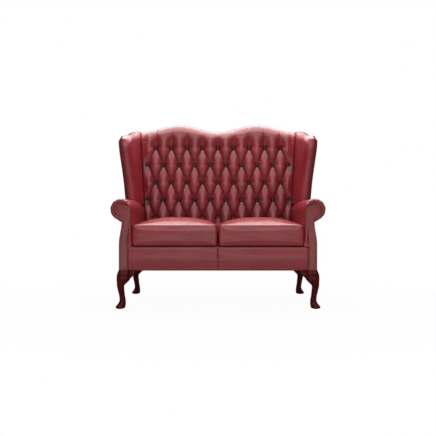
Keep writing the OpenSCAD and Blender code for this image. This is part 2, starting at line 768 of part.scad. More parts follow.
module cushion_cover(s) {
    edge = 5;
    steps = 9;
    rows = concat(
        [cushion_ring(-1, edge)],
        [for (i = [-steps:steps]) cushion_ring((1 - 2 * edge / cushion_d) * i / steps, 0)],
        [cushion_ring(1, edge)]
    );
    color(leather) cushion_place(s) difference() {
        skin(rows);
        translate([-core[0] / 2 - fit, -core[1] / 2 - fit, core_z - fit]) cube(core + 2 * [fit, fit, fit]);
        translate([-closing_w / 2, core[1] / 2 - 1, cushion_h / 2 - closing_h / 2])
            cube([closing_w, 60, closing_h]);
    }
}

module cushion_core(s) {
    color(foam) cushion_place(s) translate([-core[0] / 2, -core[1] / 2, core_z]) cube(core);
}

// Closing strip in the rear side of a cushion's cover
module cushion_closing(s) {
    color(leather) cushion_place(s)
        translate([fit - closing_w / 2, cushion_d / 2 - cover_t + fit, cushion_h / 2 - closing_h / 2 + fit])
            cube([closing_w - 2 * fit, cover_t - 1, closing_h - 2 * fit]);
}

module leg(rake, way, bolt) {
    difference() {
        skin([for (s = leg_sections()) leg_ring(s, rake, way)]);
        translate([-bolt_in, bolt, leg_h - bolt_deep - 1])
            cylinder(d = bolt_d + 0.4, h = bolt_deep + 15, $fn = 32);
    }
}

module front_leg(s) {
    color(mahogany) on_side(s) translate([leg_x, leg_y, 0]) leg(0, -1, bolt_in + 4);
}

module rear_leg(s) {
    color(mahogany) on_side(s) translate([leg_x, rear_leg_y, 0]) leg(rear_rake, 0.55, -bolt_in - 4);
}

// Bracket beside the knee of a leg, seen from the front, reaching to -x
ear_w = 28;
ear_line = [[0, 0], [-ear_w, 0], [-ear_w, -24], [-ear_w + 7, -37], [-8, -48], [0, -53]];

// A front leg has one bracket under each rail, a rear leg only the one under the side rail
module leg_ears() {
    ear_t = 26;
    front_y = leg_y - 30;
    reach = knee_w * 0.5 - foot_out * 0.22 + fit;
    color(mahogany) for (s = [-1, 1]) on_side(s) {
        translate([leg_x - reach, 0, leg_h]) slab(front_y, front_y + ear_t) polygon(ear_line);
        translate([0, leg_y + reach, leg_h]) mirror([0, 1, 0])
            cheek(side_x0 - 4, side_x0 - 4 + ear_t) polygon(ear_line);
        translate([0, rear_leg_y - reach - 3, leg_h])
            cheek(side_x0 - 4, side_x0 - 4 + ear_t) polygon(ear_line);
    }
}

module leg_bolts() {
    color(steel) for (s = [-1, 1]) on_side(s) for (p = bolt_spots())
        translate([p[0], p[1], leg_h - bolt_deep])
            cylinder(d = bolt_d, h = bolt_deep + block_w + nut_h + 2.5, $fn = 32);
}

module leg_nuts() {
    color(steel) for (s = [-1, 1]) on_side(s) for (p = bolt_spots())
        translate([p[0], p[1], leg_h + block_w]) difference() {
            cylinder(d = bolt_d * 1.9, h = nut_h, $fn = 6);
            translate([0, 0, -1]) cylinder(d = bolt_d + 0.3, h = nut_h + 2, $fn = 32);
        }
}

module foot_glides() {
    out = foot_out + 2;
    color(cloth) for (s = [-1, 1]) on_side(s) {
        translate([leg_x + out, leg_y - out, 0]) cylinder(d = foot_w * 0.5, h = glide_t, $fn = 32);
        translate([leg_x + out, rear_leg_y + out * 0.55 + rear_rake * pow(1 - leg_low / leg_h, 1.3), 0])
            cylinder(d = foot_w * 0.5, h = glide_t, $fn = 32);
    }
}

// Cloth under the seat, cut out round the legs
module dust_cover() {
    t = 1.2;
    clear = knee_w + ear_w + 12;
    x0 = leg_x + knee_w / 2 - clear;
    x1 = side_x1;
    y0 = post_y + 2;
    y1 = clear;
    y2 = rear_leg_y + 40 - clear;
    y3 = back_rail_y + board_t;
    half = [[x0, y0], [x0, y1], [x1, y1], [x1, y2], [x0, y2], [x0, y3]];
    color(cloth) centred() translate([0, 0, leg_h - t]) linear_extrude(t)
        polygon(concat(half, [for (p = reversed(half)) [-p[0], p[1]]]));
}

front_rail();
side_rail(-1);  // side_rail_left
side_rail(1);  // side_rail_right
back_rail();
centre_rail();
corner_blocks();
arm_post(-1);  // arm_post_left
arm_post(1);  // arm_post_right
arm_rail(-1);  // arm_rail_left
arm_rail(1);  // arm_rail_right
back_post(-1);  // back_post_left
back_post(1);  // back_post_right
crest_rail();
middle_back_rail();
lower_back_rail();
wing_board(-1);  // wing_board_left
wing_board(1);  // wing_board_right
seat_springs();
spring_clips();
back_webbing();
back_foam();
tufted_back();
back_buttons();
outside_back();
seat_pad();
platform_cloth();
front_border();
arm_pad(-1);  // arm_pad_left
arm_pad(1);  // arm_pad_right
arm_facing(-1);  // arm_facing_left
arm_facing(1);  // arm_facing_right
arm_nails(-1);  // arm_nails_left
arm_nails(1);  // arm_nails_right
outside_arm(-1);  // outside_arm_left
outside_arm(1);  // outside_arm_right
wing_pad(-1);  // wing_pad_left
wing_pad(1);  // wing_pad_right
outside_wing(-1);  // outside_wing_left
outside_wing(1);  // outside_wing_right
wing_nails(-1);  // wing_nails_left
wing_nails(1);  // wing_nails_right
cushion_cover(-1);  // cushion_cover_left
cushion_cover(1);  // cushion_cover_right
cushion_core(-1);  // cushion_core_left
cushion_core(1);  // cushion_core_right
cushion_closing(-1);  // cushion_closing_left
cushion_closing(1);  // cushion_closing_right
front_leg(-1);  // front_leg_left
front_leg(1);  // front_leg_right
rear_leg(-1);  // rear_leg_left
rear_leg(1);  // rear_leg_right
leg_ears();
leg_bolts();
leg_nuts();
foot_glides();
dust_cover();
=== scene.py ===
import bpy
import bmesh
import numpy
import random
from math import acos, atan2, ceil, copysign, cos, degrees, exp, floor, hypot, pi, radians, sin, sqrt, tan
from mathutils import Matrix, Vector, kdtree, noise


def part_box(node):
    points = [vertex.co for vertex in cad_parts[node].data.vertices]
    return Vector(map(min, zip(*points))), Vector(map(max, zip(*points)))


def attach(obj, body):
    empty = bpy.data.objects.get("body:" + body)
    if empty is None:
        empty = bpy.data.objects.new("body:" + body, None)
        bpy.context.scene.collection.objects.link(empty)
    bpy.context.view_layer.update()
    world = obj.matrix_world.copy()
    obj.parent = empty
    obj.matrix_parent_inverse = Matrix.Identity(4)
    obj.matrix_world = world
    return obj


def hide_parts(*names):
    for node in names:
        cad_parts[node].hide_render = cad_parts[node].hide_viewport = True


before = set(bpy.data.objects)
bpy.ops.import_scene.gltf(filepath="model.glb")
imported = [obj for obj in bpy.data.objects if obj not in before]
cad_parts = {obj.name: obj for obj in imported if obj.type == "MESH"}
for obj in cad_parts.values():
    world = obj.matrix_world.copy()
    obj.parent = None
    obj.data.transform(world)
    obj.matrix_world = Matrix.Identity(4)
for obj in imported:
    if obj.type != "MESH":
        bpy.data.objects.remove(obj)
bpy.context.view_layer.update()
scene = bpy.context.scene
print("frame loaded:", len(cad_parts), "nodes")

# main sizes of the sofa in metres, as in the part's source
sofa = {
    "midY": 0.3865, "seatDepth": 0.565, "backZ": 0.482, "lean": radians(8), "gap": 0.0003,
    "armIn": 0.499, "armOut": 0.575, "armTop": 0.638, "rollR": 0.063, "legH": 0.221, "deckZ": 0.358,
    "crestTop": 1.170, "crestWave": 0.050, "wingLean": tan(radians(4.4)), "borderX": 0.522,
}
rollX = sofa["armIn"] + sofa["rollR"]
rollZ = sofa["armTop"] - sofa["rollR"]
leanSin, leanCos = sin(sofa["lean"]), cos(sofa["lean"])
sides = ((-1, "left"), (1, "right"))


def depth(d):
    return d - sofa["midY"]      # depth behind the facings to the frame's own y


def mix(a, b, f):
    return a + (b - a) * f


def clamp(v, lo=0.0, hi=1.0):
    return max(lo, min(hi, v))


def smooth(f):
    f = clamp(f)
    return f * f * (3 - 2 * f)


def bell(d, width):
    return exp(-(d / width) ** 2)


def waves(x, y, z):
    return noise.noise(Vector((x, y, z)))


# 0 at both ends of a run and full between them
def rounded(f):
    return sqrt(max(0.0, sin(pi * clamp(f))))


def lookup(x, table):
    return float(numpy.interp(x, *zip(*table)))


# a smooth run of rows of numbers through the given rows
def curveThrough(rows, perSpan):
    out = []
    ends = [rows[0], *rows, rows[-1]]
    for i in range(len(rows) - 1):
        for k in range(perSpan):
            f = k / perSpan
            out.append([0.5 * (2 * b + (c - a) * f + (2 * a - 5 * b + 4 * c - d) * f * f
                    + (3 * b - a - 3 * c + d) * f ** 3) for a, b, c, d in zip(*ends[i:i + 4])])
    out.append(list(rows[-1]))
    return out


# the same path with evenly spaced points
def evenly(points, count, closed=False):
    pts = [Vector(p) for p in points] + ([Vector(points[0])] if closed else [])
    lengths = [0.0]
    for a, b in zip(pts, pts[1:]):
        lengths.append(lengths[-1] + (b - a).length)
    steps = count if closed else count - 1
    out, k = [], 0
    for i in range(count):
        s = lengths[-1] * i / steps
        while k < len(pts) - 2 and lengths[k + 1] < s:
            k += 1
        span = lengths[k + 1] - lengths[k]
        out.append(pts[k].lerp(pts[k + 1], clamp((s - lengths[k]) / span if span else 0)))
    return out


# a sheet whose crossing (i, j) is put at place(i, j); weld joins the places that meet
def gridMesh(columns, rows, place, weld=0.0):
    bm = bmesh.new()
    bmesh.ops.create_grid(bm, x_segments=columns, y_segments=rows, size=1)
    for v in bm.verts:
        v.co = place(round((v.co.x + 1) / 2 * columns), round((v.co.y + 1) / 2 * rows))
    if weld:
        bmesh.ops.remove_doubles(bm, verts=bm.verts[:], dist=weld)
    return bm


def closeEnds(bm):
    edges = [e for e in bm.edges if e.is_boundary]
    if edges:
        bmesh.ops.holes_fill(bm, edges=edges, sides=0)
    bmesh.ops.recalc_face_normals(bm, faces=bm.faces[:])
    return bm


# gives a sheet its thickness, on the side that inwards points to
def panelFrom(bm, thick, inwards):
    bmesh.ops.recalc_face_normals(bm, faces=bm.faces[:])
    if bm.faces[len(bm.faces) // 2].normal.dot(inwards) > 0:
        bmesh.ops.reverse_faces(bm, faces=bm.faces[:])
    bmesh.ops.solidify(bm, geom=bm.faces[:], thickness=thick)
    return bm


# a small dome, spun from a profile in shares of its radius and height
def domeMesh(size):
    bm = bmesh.new()
    points = [bm.verts.new((r * size["radius"], 0, h * size["height"])) for r, h in size["profile"]]
    for p, q in zip(points, points[1:]):
        bm.edges.new((p, q))
    bmesh.ops.spin(bm, geom=bm.verts[:] + bm.edges[:], axis=(0, 0, 1), cent=(0, 0, 0), angle=2 * pi,
            steps=size["turns"], use_merge=True, use_duplicate=False)
    bmesh.ops.remove_doubles(bm, verts=bm.verts[:], dist=1e-6)
    return closeEnds(bm)


def meshOf(bm, name):
    mesh = bpy.data.meshes.new(name)
    bm.to_mesh(mesh)
    bm.free()
    return mesh


def addObject(name, data):
    made = bpy.data.objects.new(name, data)
    scene.collection.objects.link(made)
    return made


# copies of one small shape, at each matrix in places
def scattered(unit, places):
    mesh = meshOf(unit, "unit")
    bm = bmesh.new()
    for place in places:
        start = len(bm.verts)
        bm.from_mesh(mesh)
        bm.verts.ensure_lookup_table()
        bmesh.ops.transform(bm, matrix=place, verts=bm.verts[start:])
    bpy.data.meshes.remove(mesh)
    return bm


def shadeSmooth(mesh):
    mesh.polygons.foreach_set("use_smooth", [True] * len(mesh.polygons))


def makePiece(bm, name, material, replaced=(), body="frame", slot="leather", fill=None, sharp=None):
    bmesh.ops.recalc_face_normals(bm, faces=bm.faces[:])
    mesh = meshOf(bm, name)
    mesh.materials.append(material)
    piece = addObject(name, mesh)
    shadeSmooth(mesh)
    if sharp is not None:
        mesh.set_sharp_from_angle(angle=radians(sharp))
    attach(piece, body)
    if replaced:
        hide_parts(*replaced)
    return piece


# a piece of one side, whose name gives the node that it replaces: armPad on the left takes arm_pad_left
def sidePiece(bm, word, sideName, material, **rest):
    node = "".join("_" + c.lower() if c.isupper() else c for c in word) + "_" + sideName
    return makePiece(bm, word + "_" + sideName, material, [node], **rest)


# a value for each point of a piece, which its material reads
def setPoints(piece, name, values):
    layer = piece.data.attributes.new(name, "FLOAT", "POINT")
    layer.data.foreach_set("value", values)


# painted shade for each point of a piece: how deep in a fold it lies, which darkens the leather's colour
def setPaintedShade(piece, value):
    setPoints(piece, "crease", [value(v.co) for v in piece.data.vertices])


def shaderTree(name):
    material = bpy.data.materials.new(name)
    material.use_nodes = True
    tree = material.node_tree
    return material, tree, tree.nodes["Principled BSDF"]


def setInputs(tree, node, inputs):
    for key, value in inputs.items():
        if isinstance(value, bpy.types.NodeSocket):
            tree.links.new(value, node.inputs[key])
        else:
            node.inputs[key].default_value = value


def addNode(tree, kind, inputs, **settings):
    made = tree.nodes.new("ShaderNode" + kind)
    for key, value in settings.items():
        setattr(made, key, value)
    setInputs(tree, made, inputs)
    return made


def objectCoords(tree, stretch=(1, 1, 1)):
    coords = addNode(tree, "TexCoord", {}).outputs["Object"]
    return addNode(tree, "Mapping", {"Vector": coords, "Scale": stretch}).outputs["Vector"]


def cloudsOf(tree, coords, scale, detail, roughness=0.5, distortion=0.0):
    return addNode(tree, "TexNoise", {
        "Vector": coords, "Scale": scale, "Detail": detail, "Roughness": roughness,
        "Distortion": distortion}).outputs["Fac"]


def cellsOf(tree, scale, feature="F1"):
    return addNode(tree, "TexVoronoi", {"Vector": objectCoords(tree), "Scale": scale},
            feature=feature).outputs["Distance"]


def attributeOf(tree, name):
    return addNode(tree, "Attribute", {}, attribute_name=name).outputs["Fac"]


def colourBand(tree, fac, stops):
    ramp = addNode(tree, "ValToRGB", {"Fac": fac})
    while len(ramp.color_ramp.elements) < len(stops):
        ramp.color_ramp.elements.new(0.5)
    for element, (position, colour) in zip(ramp.color_ramp.elements, stops):
        element.position = position
        element.color = (*colour, 1)
    return ramp.outputs["Color"]


# base shows where fac is 0 and the plain colour over it where fac is 1
def mixColour(tree, fac, base, over):
    return addNode(tree, "Mix", {0: fac, 6: base, 7: (*over, 1)}, data_type="RGBA").outputs[2]


def rangeOf(tree, value, a, b, c, d):
    return addNode(tree, "MapRange", {"Value": value, "From Min": a, "From Max": b,
            "To Min": c, "To Max": d}).outputs["Result"]


def bumpFrom(tree, height, distance, strength, under=None):
    inputs = {"Height": height, "Distance": distance, "Strength": strength}
    if under is not None:
        inputs["Normal"] = under
    return addNode(tree, "Bump", inputs).outputs["Normal"]


leatherLook = {
    "deep": (0.022, 0.0020, 0.0034), "mid": (0.205, 0.0085, 0.0145), "light": (0.270, 0.0150, 0.0220),
    "mottleScale": 7.0, "grainScale": 430.0, "grainDepth": 0.00032, "creaseScale": 38.0,
    "coat": 0.10, "creaseDepth": 0.0007, "roughness": (0.33, 0.44),
}
# the buttons' leather painted near black, as painted shade of the pits they sit in
buttonShadeLook = {
    **leatherLook, "light": (0.050, 0.0040, 0.0055), "mid": (0.035, 0.0030, 0.0040),
    "roughness": (0.46, 0.56), "coat": 0.0,
}


def leatherMaterial(name, look):
    material, tree, shader = shaderTree(name)
    coords = objectCoords(tree)
    mottle = cloudsOf(tree, coords, look["mottleScale"], 4.0, 0.55)
    speckle = cloudsOf(tree, coords, 95.0, 5.0, 0.7)
    wrinkle = cloudsOf(tree, objectCoords(tree, (1, 1, 0.8)), look["creaseScale"], 6.0, 0.62, 0.9)
    grain = cellsOf(tree, look["grainScale"], "SMOOTH_F1")
    base = colourBand(tree, mottle, [(0.30, look["mid"]), (0.72, look["light"])])
    dusty = mixColour(tree, rangeOf(tree, speckle, 0.42, 0.7, 0.0, 0.22), base, look["deep"])
    pores = mixColour(tree, rangeOf(tree, grain, 0.1, 0.5, 0.0, 0.25), dusty, look["mid"])
    # painted shade: the crease attribute darkens the leather towards its deep colour
    paintedShade = rangeOf(tree, attributeOf(tree, "crease"), 0.0, 1.0, 0.0, 0.9)
    soft = bumpFrom(tree, wrinkle, look["creaseDepth"], 0.5)
    setInputs(tree, shader, {
        "Base Color": mixColour(tree, paintedShade, pores, look["deep"]),
        "Roughness": rangeOf(tree, wrinkle, 0.3, 0.7, *look["roughness"]),
        "Normal": bumpFrom(tree, grain, look["grainDepth"], 0.55, soft),
        "Specular IOR Level": 0.5, "Coat Weight": look["coat"], "Coat Roughness": 0.30,
    })
    return material


def woodMaterial(name, dark, light, roughness, coat, streak):
    material, tree, shader = shaderTree(name)
    streaks = cloudsOf(tree, objectCoords(tree, streak), 1.4, 7.0, 0.62, 0.6)
    pores = cloudsOf(tree, objectCoords(tree, tuple(6 * s for s in streak)), 1.0, 3.0)
    middle = tuple((a + b) / 2 for a, b in zip(dark, light))
    base = colourBand(tree, streaks, [(0.3, dark), (0.55, middle), (0.78, light)])
    setInputs(tree, shader, {
        "Base Color": mixColour(tree, rangeOf(tree, pores, 0.5, 0.72, 0.0, 0.55), base, dark),
        "Roughness": rangeOf(tree, streaks, 0.2, 0.8, roughness, roughness + 0.12),
        "Normal": bumpFrom(tree, pores, 0.0003, 0.5),
        "Specular IOR Level": 0.08, "Coat Weight": coat, "Coat Roughness": 0.14,
    })
    return material


# how dark the foot of each nail goes, patina and painted shade in the gaps between the nails; plain metal has none
def metalMaterial(name, low, high, roughness, scale, patinaAndShadeDark=0.0, metallic=1.0):
    material, tree, shader = shaderTree(name)
    patina = cloudsOf(tree, objectCoords(tree), scale, 5.0, 0.7)
    colour = colourBand(tree, patina, [(0.35, low), (0.65, high)])
    if patinaAndShadeDark:
        foot = rangeOf(tree, attributeOf(tree, "rim"), 0.08, 0.30, 0.0, patinaAndShadeDark)
        colour = mixColour(tree, foot, colour, tuple(c * 0.08 for c in low))
    setInputs(tree, shader, {
        "Base Color": colour, "Roughness": rangeOf(tree, patina, 0.3, 0.7, roughness + 0.12, roughness),
        "Normal": bumpFrom(tree, patina, 0.0002, 0.4), "Metallic": metallic,
    })
    return material


def wovenMaterial(name, thread, gap, scale):
    material, tree, shader = shaderTree(name)
    coords = objectCoords(tree)
    across, along = (
        addNode(tree, "TexWave", {"Vector": coords, "Scale": scale, "Distortion": 0.6, "Detail": 1.0},
            bands_direction=way).outputs["Fac"] for way in "XY")
    weave = addNode(tree, "Math", {0: across, 1: along}, operation="MULTIPLY").outputs[0]
    setInputs(tree, shader, {
        "Base Color": colourBand(tree, weave, [(0.1, gap), (0.6, thread)]),
        "Normal": bumpFrom(tree, weave, 0.0005, 0.8), "Roughness": 0.9, "Sheen Weight": 0.15,
    })
    return material


def foamMaterial(name, light, dark):
    material, tree, shader = shaderTree(name)
    cells = cellsOf(tree, 520.0)
    base = colourBand(tree, cloudsOf(tree, objectCoords(tree), 6.0, 3.0), [(0.35, dark), (0.7, light)])
    setInputs(tree, shader, {
        "Base Color": mixColour(tree, rangeOf(tree, cells, 0.1, 0.6, 0.5, 0.0), base, dark),
        "Normal": bumpFrom(tree, cells, 0.0006, 0.7), "Roughness": 0.95,
    })
    return material


redLeather = leatherMaterial("red leather", leatherLook)
shadedButtonLeather = leatherMaterial("button leather", buttonShadeLook)
mahogany = woodMaterial("polished mahogany", (0.010, 0.0004, 0.0004), (0.140, 0.0036, 0.0018), 0.34, 0.06,
        (60, 60, 5))
beech = woodMaterial("frame timber", (0.36, 0.22, 0.11), (0.62, 0.42, 0.24), 0.6, 0.0, (9, 40, 40))
brass = metalMaterial("antique brass", (0.12, 0.095, 0.052), (0.50, 0.41, 0.26), 0.34, 320.0, 0.985, 0.85)
steel = metalMaterial("spring steel", (0.30, 0.30, 0.31), (0.55, 0.55, 0.57), 0.3, 60.0)
blackCloth = wovenMaterial("black cloth", (0.035, 0.034, 0.033), (0.008, 0.008, 0.008), 300.0)
webbing = wovenMaterial("webbing", (0.30, 0.26, 0.19), (0.05, 0.04, 0.03), 220.0)
deckCloth = wovenMaterial("deck cloth", (0.16, 0.012, 0.018), (0.03, 0.004, 0.005), 420.0)
felt = wovenMaterial("glide felt", (0.06, 0.055, 0.05), (0.02, 0.02, 0.02), 500.0)
yellowFoam = foamMaterial("foam", (0.80, 0.70, 0.44), (0.58, 0.46, 0.24))

# finishes of the pieces that stay as they come with the frame
keptFinish = [
    (("front_rail", "side_rail", "back_rail", "centre_rail", "corner_blocks", "arm_post", "arm_rail",
      "back_post", "crest_rail", "middle_back_rail", "lower_back_rail", "wing_board"), beech),
    (("seat_springs", "spring_clips", "leg_bolts", "leg_nuts"), steel),
    (("back_webbing",), webbing),
    (("dust_cover",), blackCloth),
    (("platform_cloth",), deckCloth),
    (("foot_glides",), felt),
    (("back_foam", "seat_pad"), yellowFoam),
    (("cushion_closing",), redLeather),
]
for nodeName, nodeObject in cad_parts.items():
    for starts, finish in keptFinish:
        if nodeName.startswith(starts):
            nodeObject.data.materials.clear()
            nodeObject.data.materials.append(finish)
print("materials ready")

# the back is laid out in x across, t up its slope and n behind its face
back = {
    "across": 9.37, "rows": 5, "firstRow": 0.042, "lastDrop": 0.168, "puff": 0.028, "skew": 0.80,
    "crispness": (1.0, 0.56), "foldRise": 0.30, "crease": 0.0016, "creaseWidth": 0.0022, "skin": 0.022,
    "skinFoot": 0.642, "pit": 0.0075, "pitWidth": 0.0125, "pleats": ((0.11, 0.0034), (0.11, 0.014)),
    "pleatRise": 0.105, "postRear": 0.119, "railDrop": 0.030, "foot": -0.1098, "wander": 0.0012,
    "fineWander": 0.0005, "gather": 0.0010, "gatherFrom": 0.008, "gatherTo": 0.05, "gatherFade": 0.014,
    "gatherCount": 11, "margin": 0.009, "marginPuff": 0.020, "marginFrom": 0.012, "marginSteps": 7,
    "perTuft": 32, "perRow": 36, "footSteps": 44, "upSteps": 22,
}
crest = {
    "n": 0.075, "up": 0.092, "back": 0.086, "front": 0.080, "shares": (0, 0.22, 0.42, 0.60, 0.75, 0.87, 0.95),
    "steps": 44, "over": 0.013, "rear": ((0.094, 0.002), (0.1145, 0.0095), (back["postRear"], 0.024)),
    "pleatWidth": 0.0042, "pleatIn": 0.0018, "pleatDown": 0.0020,
}


def backPoint(x, n, t):
    y = depth(sofa["seatDepth"]) + t * leanSin + n * leanCos
    return Vector((x, y, sofa["backZ"] + t * leanCos - n * leanSin))


def slopeAt(z, n):
    return (z - sofa["backZ"] + n * leanSin) / leanCos


def depthAt(z, n):
    return sofa["seatDepth"] + slopeAt(z, n) * leanSin + n * leanCos


# half the width between the wings at a height
def padHalf(z):
    return sofa["armIn"] - sofa["gap"] + sofa["wingLean"] * max(0.0, z - sofa["armTop"] - 0.004)


# the two humps of the crest
def crestZ(x):
    return sofa["crestTop"] - sofa["crestWave"] * (1 + cos(2 * pi * x / padHalf(sofa["crestTop"]))) / 2


tuftW = 1.0 / back["across"]
lastRow = (sofa["crestTop"] - back["lastDrop"] - sofa["backZ"]) / leanCos
tuftH = (lastRow - back["firstRow"]) / (back["rows"] - 1)
edgeX = 4.5 * tuftW      # the buttons at the ends of the widest rows
buttonSpots = []
for row in range(back["rows"]):
    half = 4 + (row % 2) * 0.5
    buttonSpots += [((k - half) * tuftW, back["firstRow"] + row * tuftH) for k in range(int(2 * half) + 1)]


# height of the pillow between four buttons, how deep in a fold this point lies, how full the pillow is here
def puffParts(x, t):
    x = clamp(x, -edgeX, edgeX)
    level = (clamp(t, back["firstRow"], lastRow) - back["firstRow"]) / tuftH
    a, b = x / tuftW + level / 2, x / tuftW - level / 2
    fa, fb = a - floor(a), 1 - (b - floor(b))
    upward = level - floor(level)      # 0 at the row below, 1 at the row above
    crisp = smooth(upward / 0.85) * (1 - smooth((upward - 0.90) / 0.10))
    pa, pb = (sin(pi * f ** back["skew"]) if 0 < f < 1 else 0.0 for f in (fa, fb))
    swell = max(0.0, pa * pb) ** mix(*back["crispness"], crisp)
    tie = (cos(pi * a) * cos(pi * b)) ** 2
    past = smooth(max(t - lastRow, back["firstRow"] - t, 0.0) / back["pleatRise"])
    line = min(fa, 1 - fa, fb, 1 - fb) / hypot(1 / tuftW, 1 / (2 * tuftH))
    crease = bell(line, back["creaseWidth"]) * mix(0.1, 1.0, crisp) * (1 - past)
    pillow = (1 - back["foldRise"]) * swell + back["foldRise"] * (1 - tie ** 0.8)
    pleat = 1 - sum(deep * bell(line, wide) for deep, wide in back["pleats"])
    height = mix(pillow, pleat, past) * back["puff"]
    return height - back["crease"] * crease, crease, swell


# the way to this point from the nearest button, and a number of that button's own
def nearButton(x, t):
    best = None
    for row in (floor((t - back["firstRow"]) / tuftH), ceil((t - back["firstRow"]) / tuftH)):
        row = int(clamp(row, 0, back["rows"] - 1))
        shift = (row % 2) * 0.5
        k = clamp(round(x / tuftW - shift) + shift, -4 - shift, 4 + shift)
        spot = (x - k * tuftW, t - back["firstRow"] - row * tuftH)
        if best is None or hypot(*spot) < hypot(*best[:2]):
            best = (*spot, row * 31 + k * 7)
    return best


# how far behind the back's plain slope its leather lies
def frontN(x, z, t):
    height, crease, swell = puffParts(x, t)
    # the plain margins beside the buttons fall back from the pillows
    s = max(0.0, (abs(x) - edgeX + back["marginFrom"]) / (padHalf(z) - edgeX + back["marginFrom"]))
    dx, dt, seed = nearButton(x, t)
    r = hypot(dx, dt)
    gathers = 0.0
    if back["gatherFrom"] < r < back["gatherTo"]:
        fade = exp((back["gatherFrom"] - r) / back["gatherFade"])
        gathers = back["gather"] * fade * sin(atan2(dt, dx) * back["gatherCount"] + seed)
    wander = back["wander"] * waves(x * 14, t * 11, 2.5) + back["fineWander"] * waves(x * 60, t * 45, 7.5)
    face = mix(height + gathers + wander * swell, back["marginPuff"], smooth(s / 0.8))
    return back["pit"] * bell(r, back["pitWidth"]) - face + back["margin"] * s * s


halfCount = 9 * back["perTuft"] // 2
footSteps = back["footSteps"]
rowsT = [mix(back["foot"], back["firstRow"], 1 - (1 - k / footSteps) ** 1.5) for k in range(footSteps)]
rowsT += [back["firstRow"] + k * tuftH / back["perRow"] for k in range(4 * back["perRow"] + 1)]
faceRows = len(rowsT) + back["upSteps"]
ringCount = faceRows + crest["steps"] + 4


def columnAt(i, z):
    k = i - back["marginSteps"] - halfCount
    if abs(k) <= halfCount:
        return k * tuftW / back["perTuft"]
    return copysign(mix(edgeX, padHalf(z), (abs(k) - halfCount) / back["marginSteps"]), k)


crestLines = {}


# the crest in one upright slice: (n, t) from the front, over the top and down behind
def crestLine(i):
    if i not in crestLines:
        x = columnAt(i, sofa["crestTop"])
        top = slopeAt(crestZ(x), crest["n"])
        # there are no pleats beyond the outer buttons
        line = abs(x / tuftW - round(x / tuftW)) * tuftW if abs(x) < edgeX - 0.02 else 0.03
        pleat = bell(line, crest["pleatWidth"])
        start = top - crest["up"]
        lean = min(crest["back"], crest["front"] - frontN(x, backPoint(x, 0, start).z, start))
        points = []
        for s in crest["shares"]:      # a quarter round
            t = start + crest["up"] * s
            n = frontN(x, backPoint(x, 0, t).z, t) + lean * (1 - sqrt(1 - s * s))
            points.append((n + crest["pleatIn"] * pleat * s, t - crest["pleatDown"] * pleat * s * s))
        over = points[-1][0] + crest["over"]
        points += [(over, top - 0.0006 - crest["pleatDown"] * pleat),
                (mix(over, crest["rear"][0][0], 0.5), top - 0.0012 * pleat)]
        points += [(n, top - drop) for n, drop in crest["rear"]]
        crestLines[i] = (start, top, evenly(curveThrough(points, 8), crest["steps"] + 1))
    return crestLines[i]


# goes round the back once: up its face, over the crest, down behind and back under the skin
def backPlace(i, j):
    start, top, over = crestLine(i)
    j %= ringCount
    if j < faceRows:
        t = rowsT[j] if j < len(rowsT) else mix(lastRow, start, (j - len(rowsT) + 1) / (back["upSteps"] + 1))
        z = backPoint(0, 0, t).z
        x = columnAt(i, z)
        return backPoint(x, frontN(x, z, t), t)
    if j <= faceRows + crest["steps"]:
        n, t = over[j - faceRows]
    else:
        rail, skin = top - back["railDrop"], back["skin"]
        behind = (back["postRear"], rail), (skin, rail), (skin, slopeAt(back["skinFoot"], skin))
        n, t = behind[j - faceRows - crest["steps"] - 1]
    return backPoint(columnAt(i, backPoint(0, n, t).z), n, t)


backColumns = 2 * (halfCount + back["marginSteps"])
tuftedBack = makePiece(gridMesh(backColumns, ringCount, backPlace, 1e-6), "tuftedBack", redLeather,
        ["tufted_back"], fill=0.9)
endFill = bmesh.new()
endFill.from_mesh(tuftedBack.data)
closeEnds(endFill)
endFill.to_mesh(tuftedBack.data)
endFill.free()


# painted shade, how dark the leather goes: everywhere, near the seat, round and under each button, in creases and
# in valleys
backShadeWeights = {"plain": 0.13, "low": 0.20, "pit": 0.95, "under": 0.28, "crease": 0.35, "valley": 0.06}


def backPaintedShade(co):
    y, z = co.y - depth(sofa["seatDepth"]), co.z - sofa["backZ"]
    t = y * leanSin + z * leanCos
    n = y * leanCos - z * leanSin
    if n > 0.012 or t > lastRow + 0.16:
        return 0.0
    height, crease, swell = puffParts(co.x, t)
    dx, dt, seed = nearButton(co.x, t)
    pit = exp(-(hypot(dx, dt * 0.92) / 0.0175) ** 3)
    under = bell(dt + 0.004, 0.020) * bell(dx, 0.024)
    low = 1 - smooth((t - back["firstRow"]) / (2.5 * tuftH))
    return clamp(backShadeWeights["plain"] + backShadeWeights["low"] * low + backShadeWeights["pit"] * pit + backShadeWeights["under"] * under
            + backShadeWeights["crease"] * crease + backShadeWeights["valley"] * (1 - swell))


setPaintedShade(tuftedBack, backPaintedShade)
print("tufted back:", len(tuftedBack.data.vertices), "points")

button = {
    "radius": 0.0088, "height": 0.0062, "turns": 16, "sunk": 0.0046,
    "profile": ((0.0, 1.0), (0.30, 0.97), (0.60, 0.84), (0.84, 0.58), (0.97, 0.28), (1.0, 0.0), (0.9, -0.35)),
}
facesOut = Matrix.Rotation(pi / 2 - sofa["lean"], 4, "X")
buttonPlaces = [Matrix.Translation(backPoint(x, button["sunk"], t)) @ facesOut for x, t in buttonSpots]
backButtons = makePiece(scattered(domeMesh(button), buttonPlaces), "backButtons", shadedButtonLeather,
        ["back_buttons"], fill=0.95)
# a little more painted shade on every button
setPaintedShade(backButtons, lambda co: 0.15)
print("buttons:", len(buttonSpots))

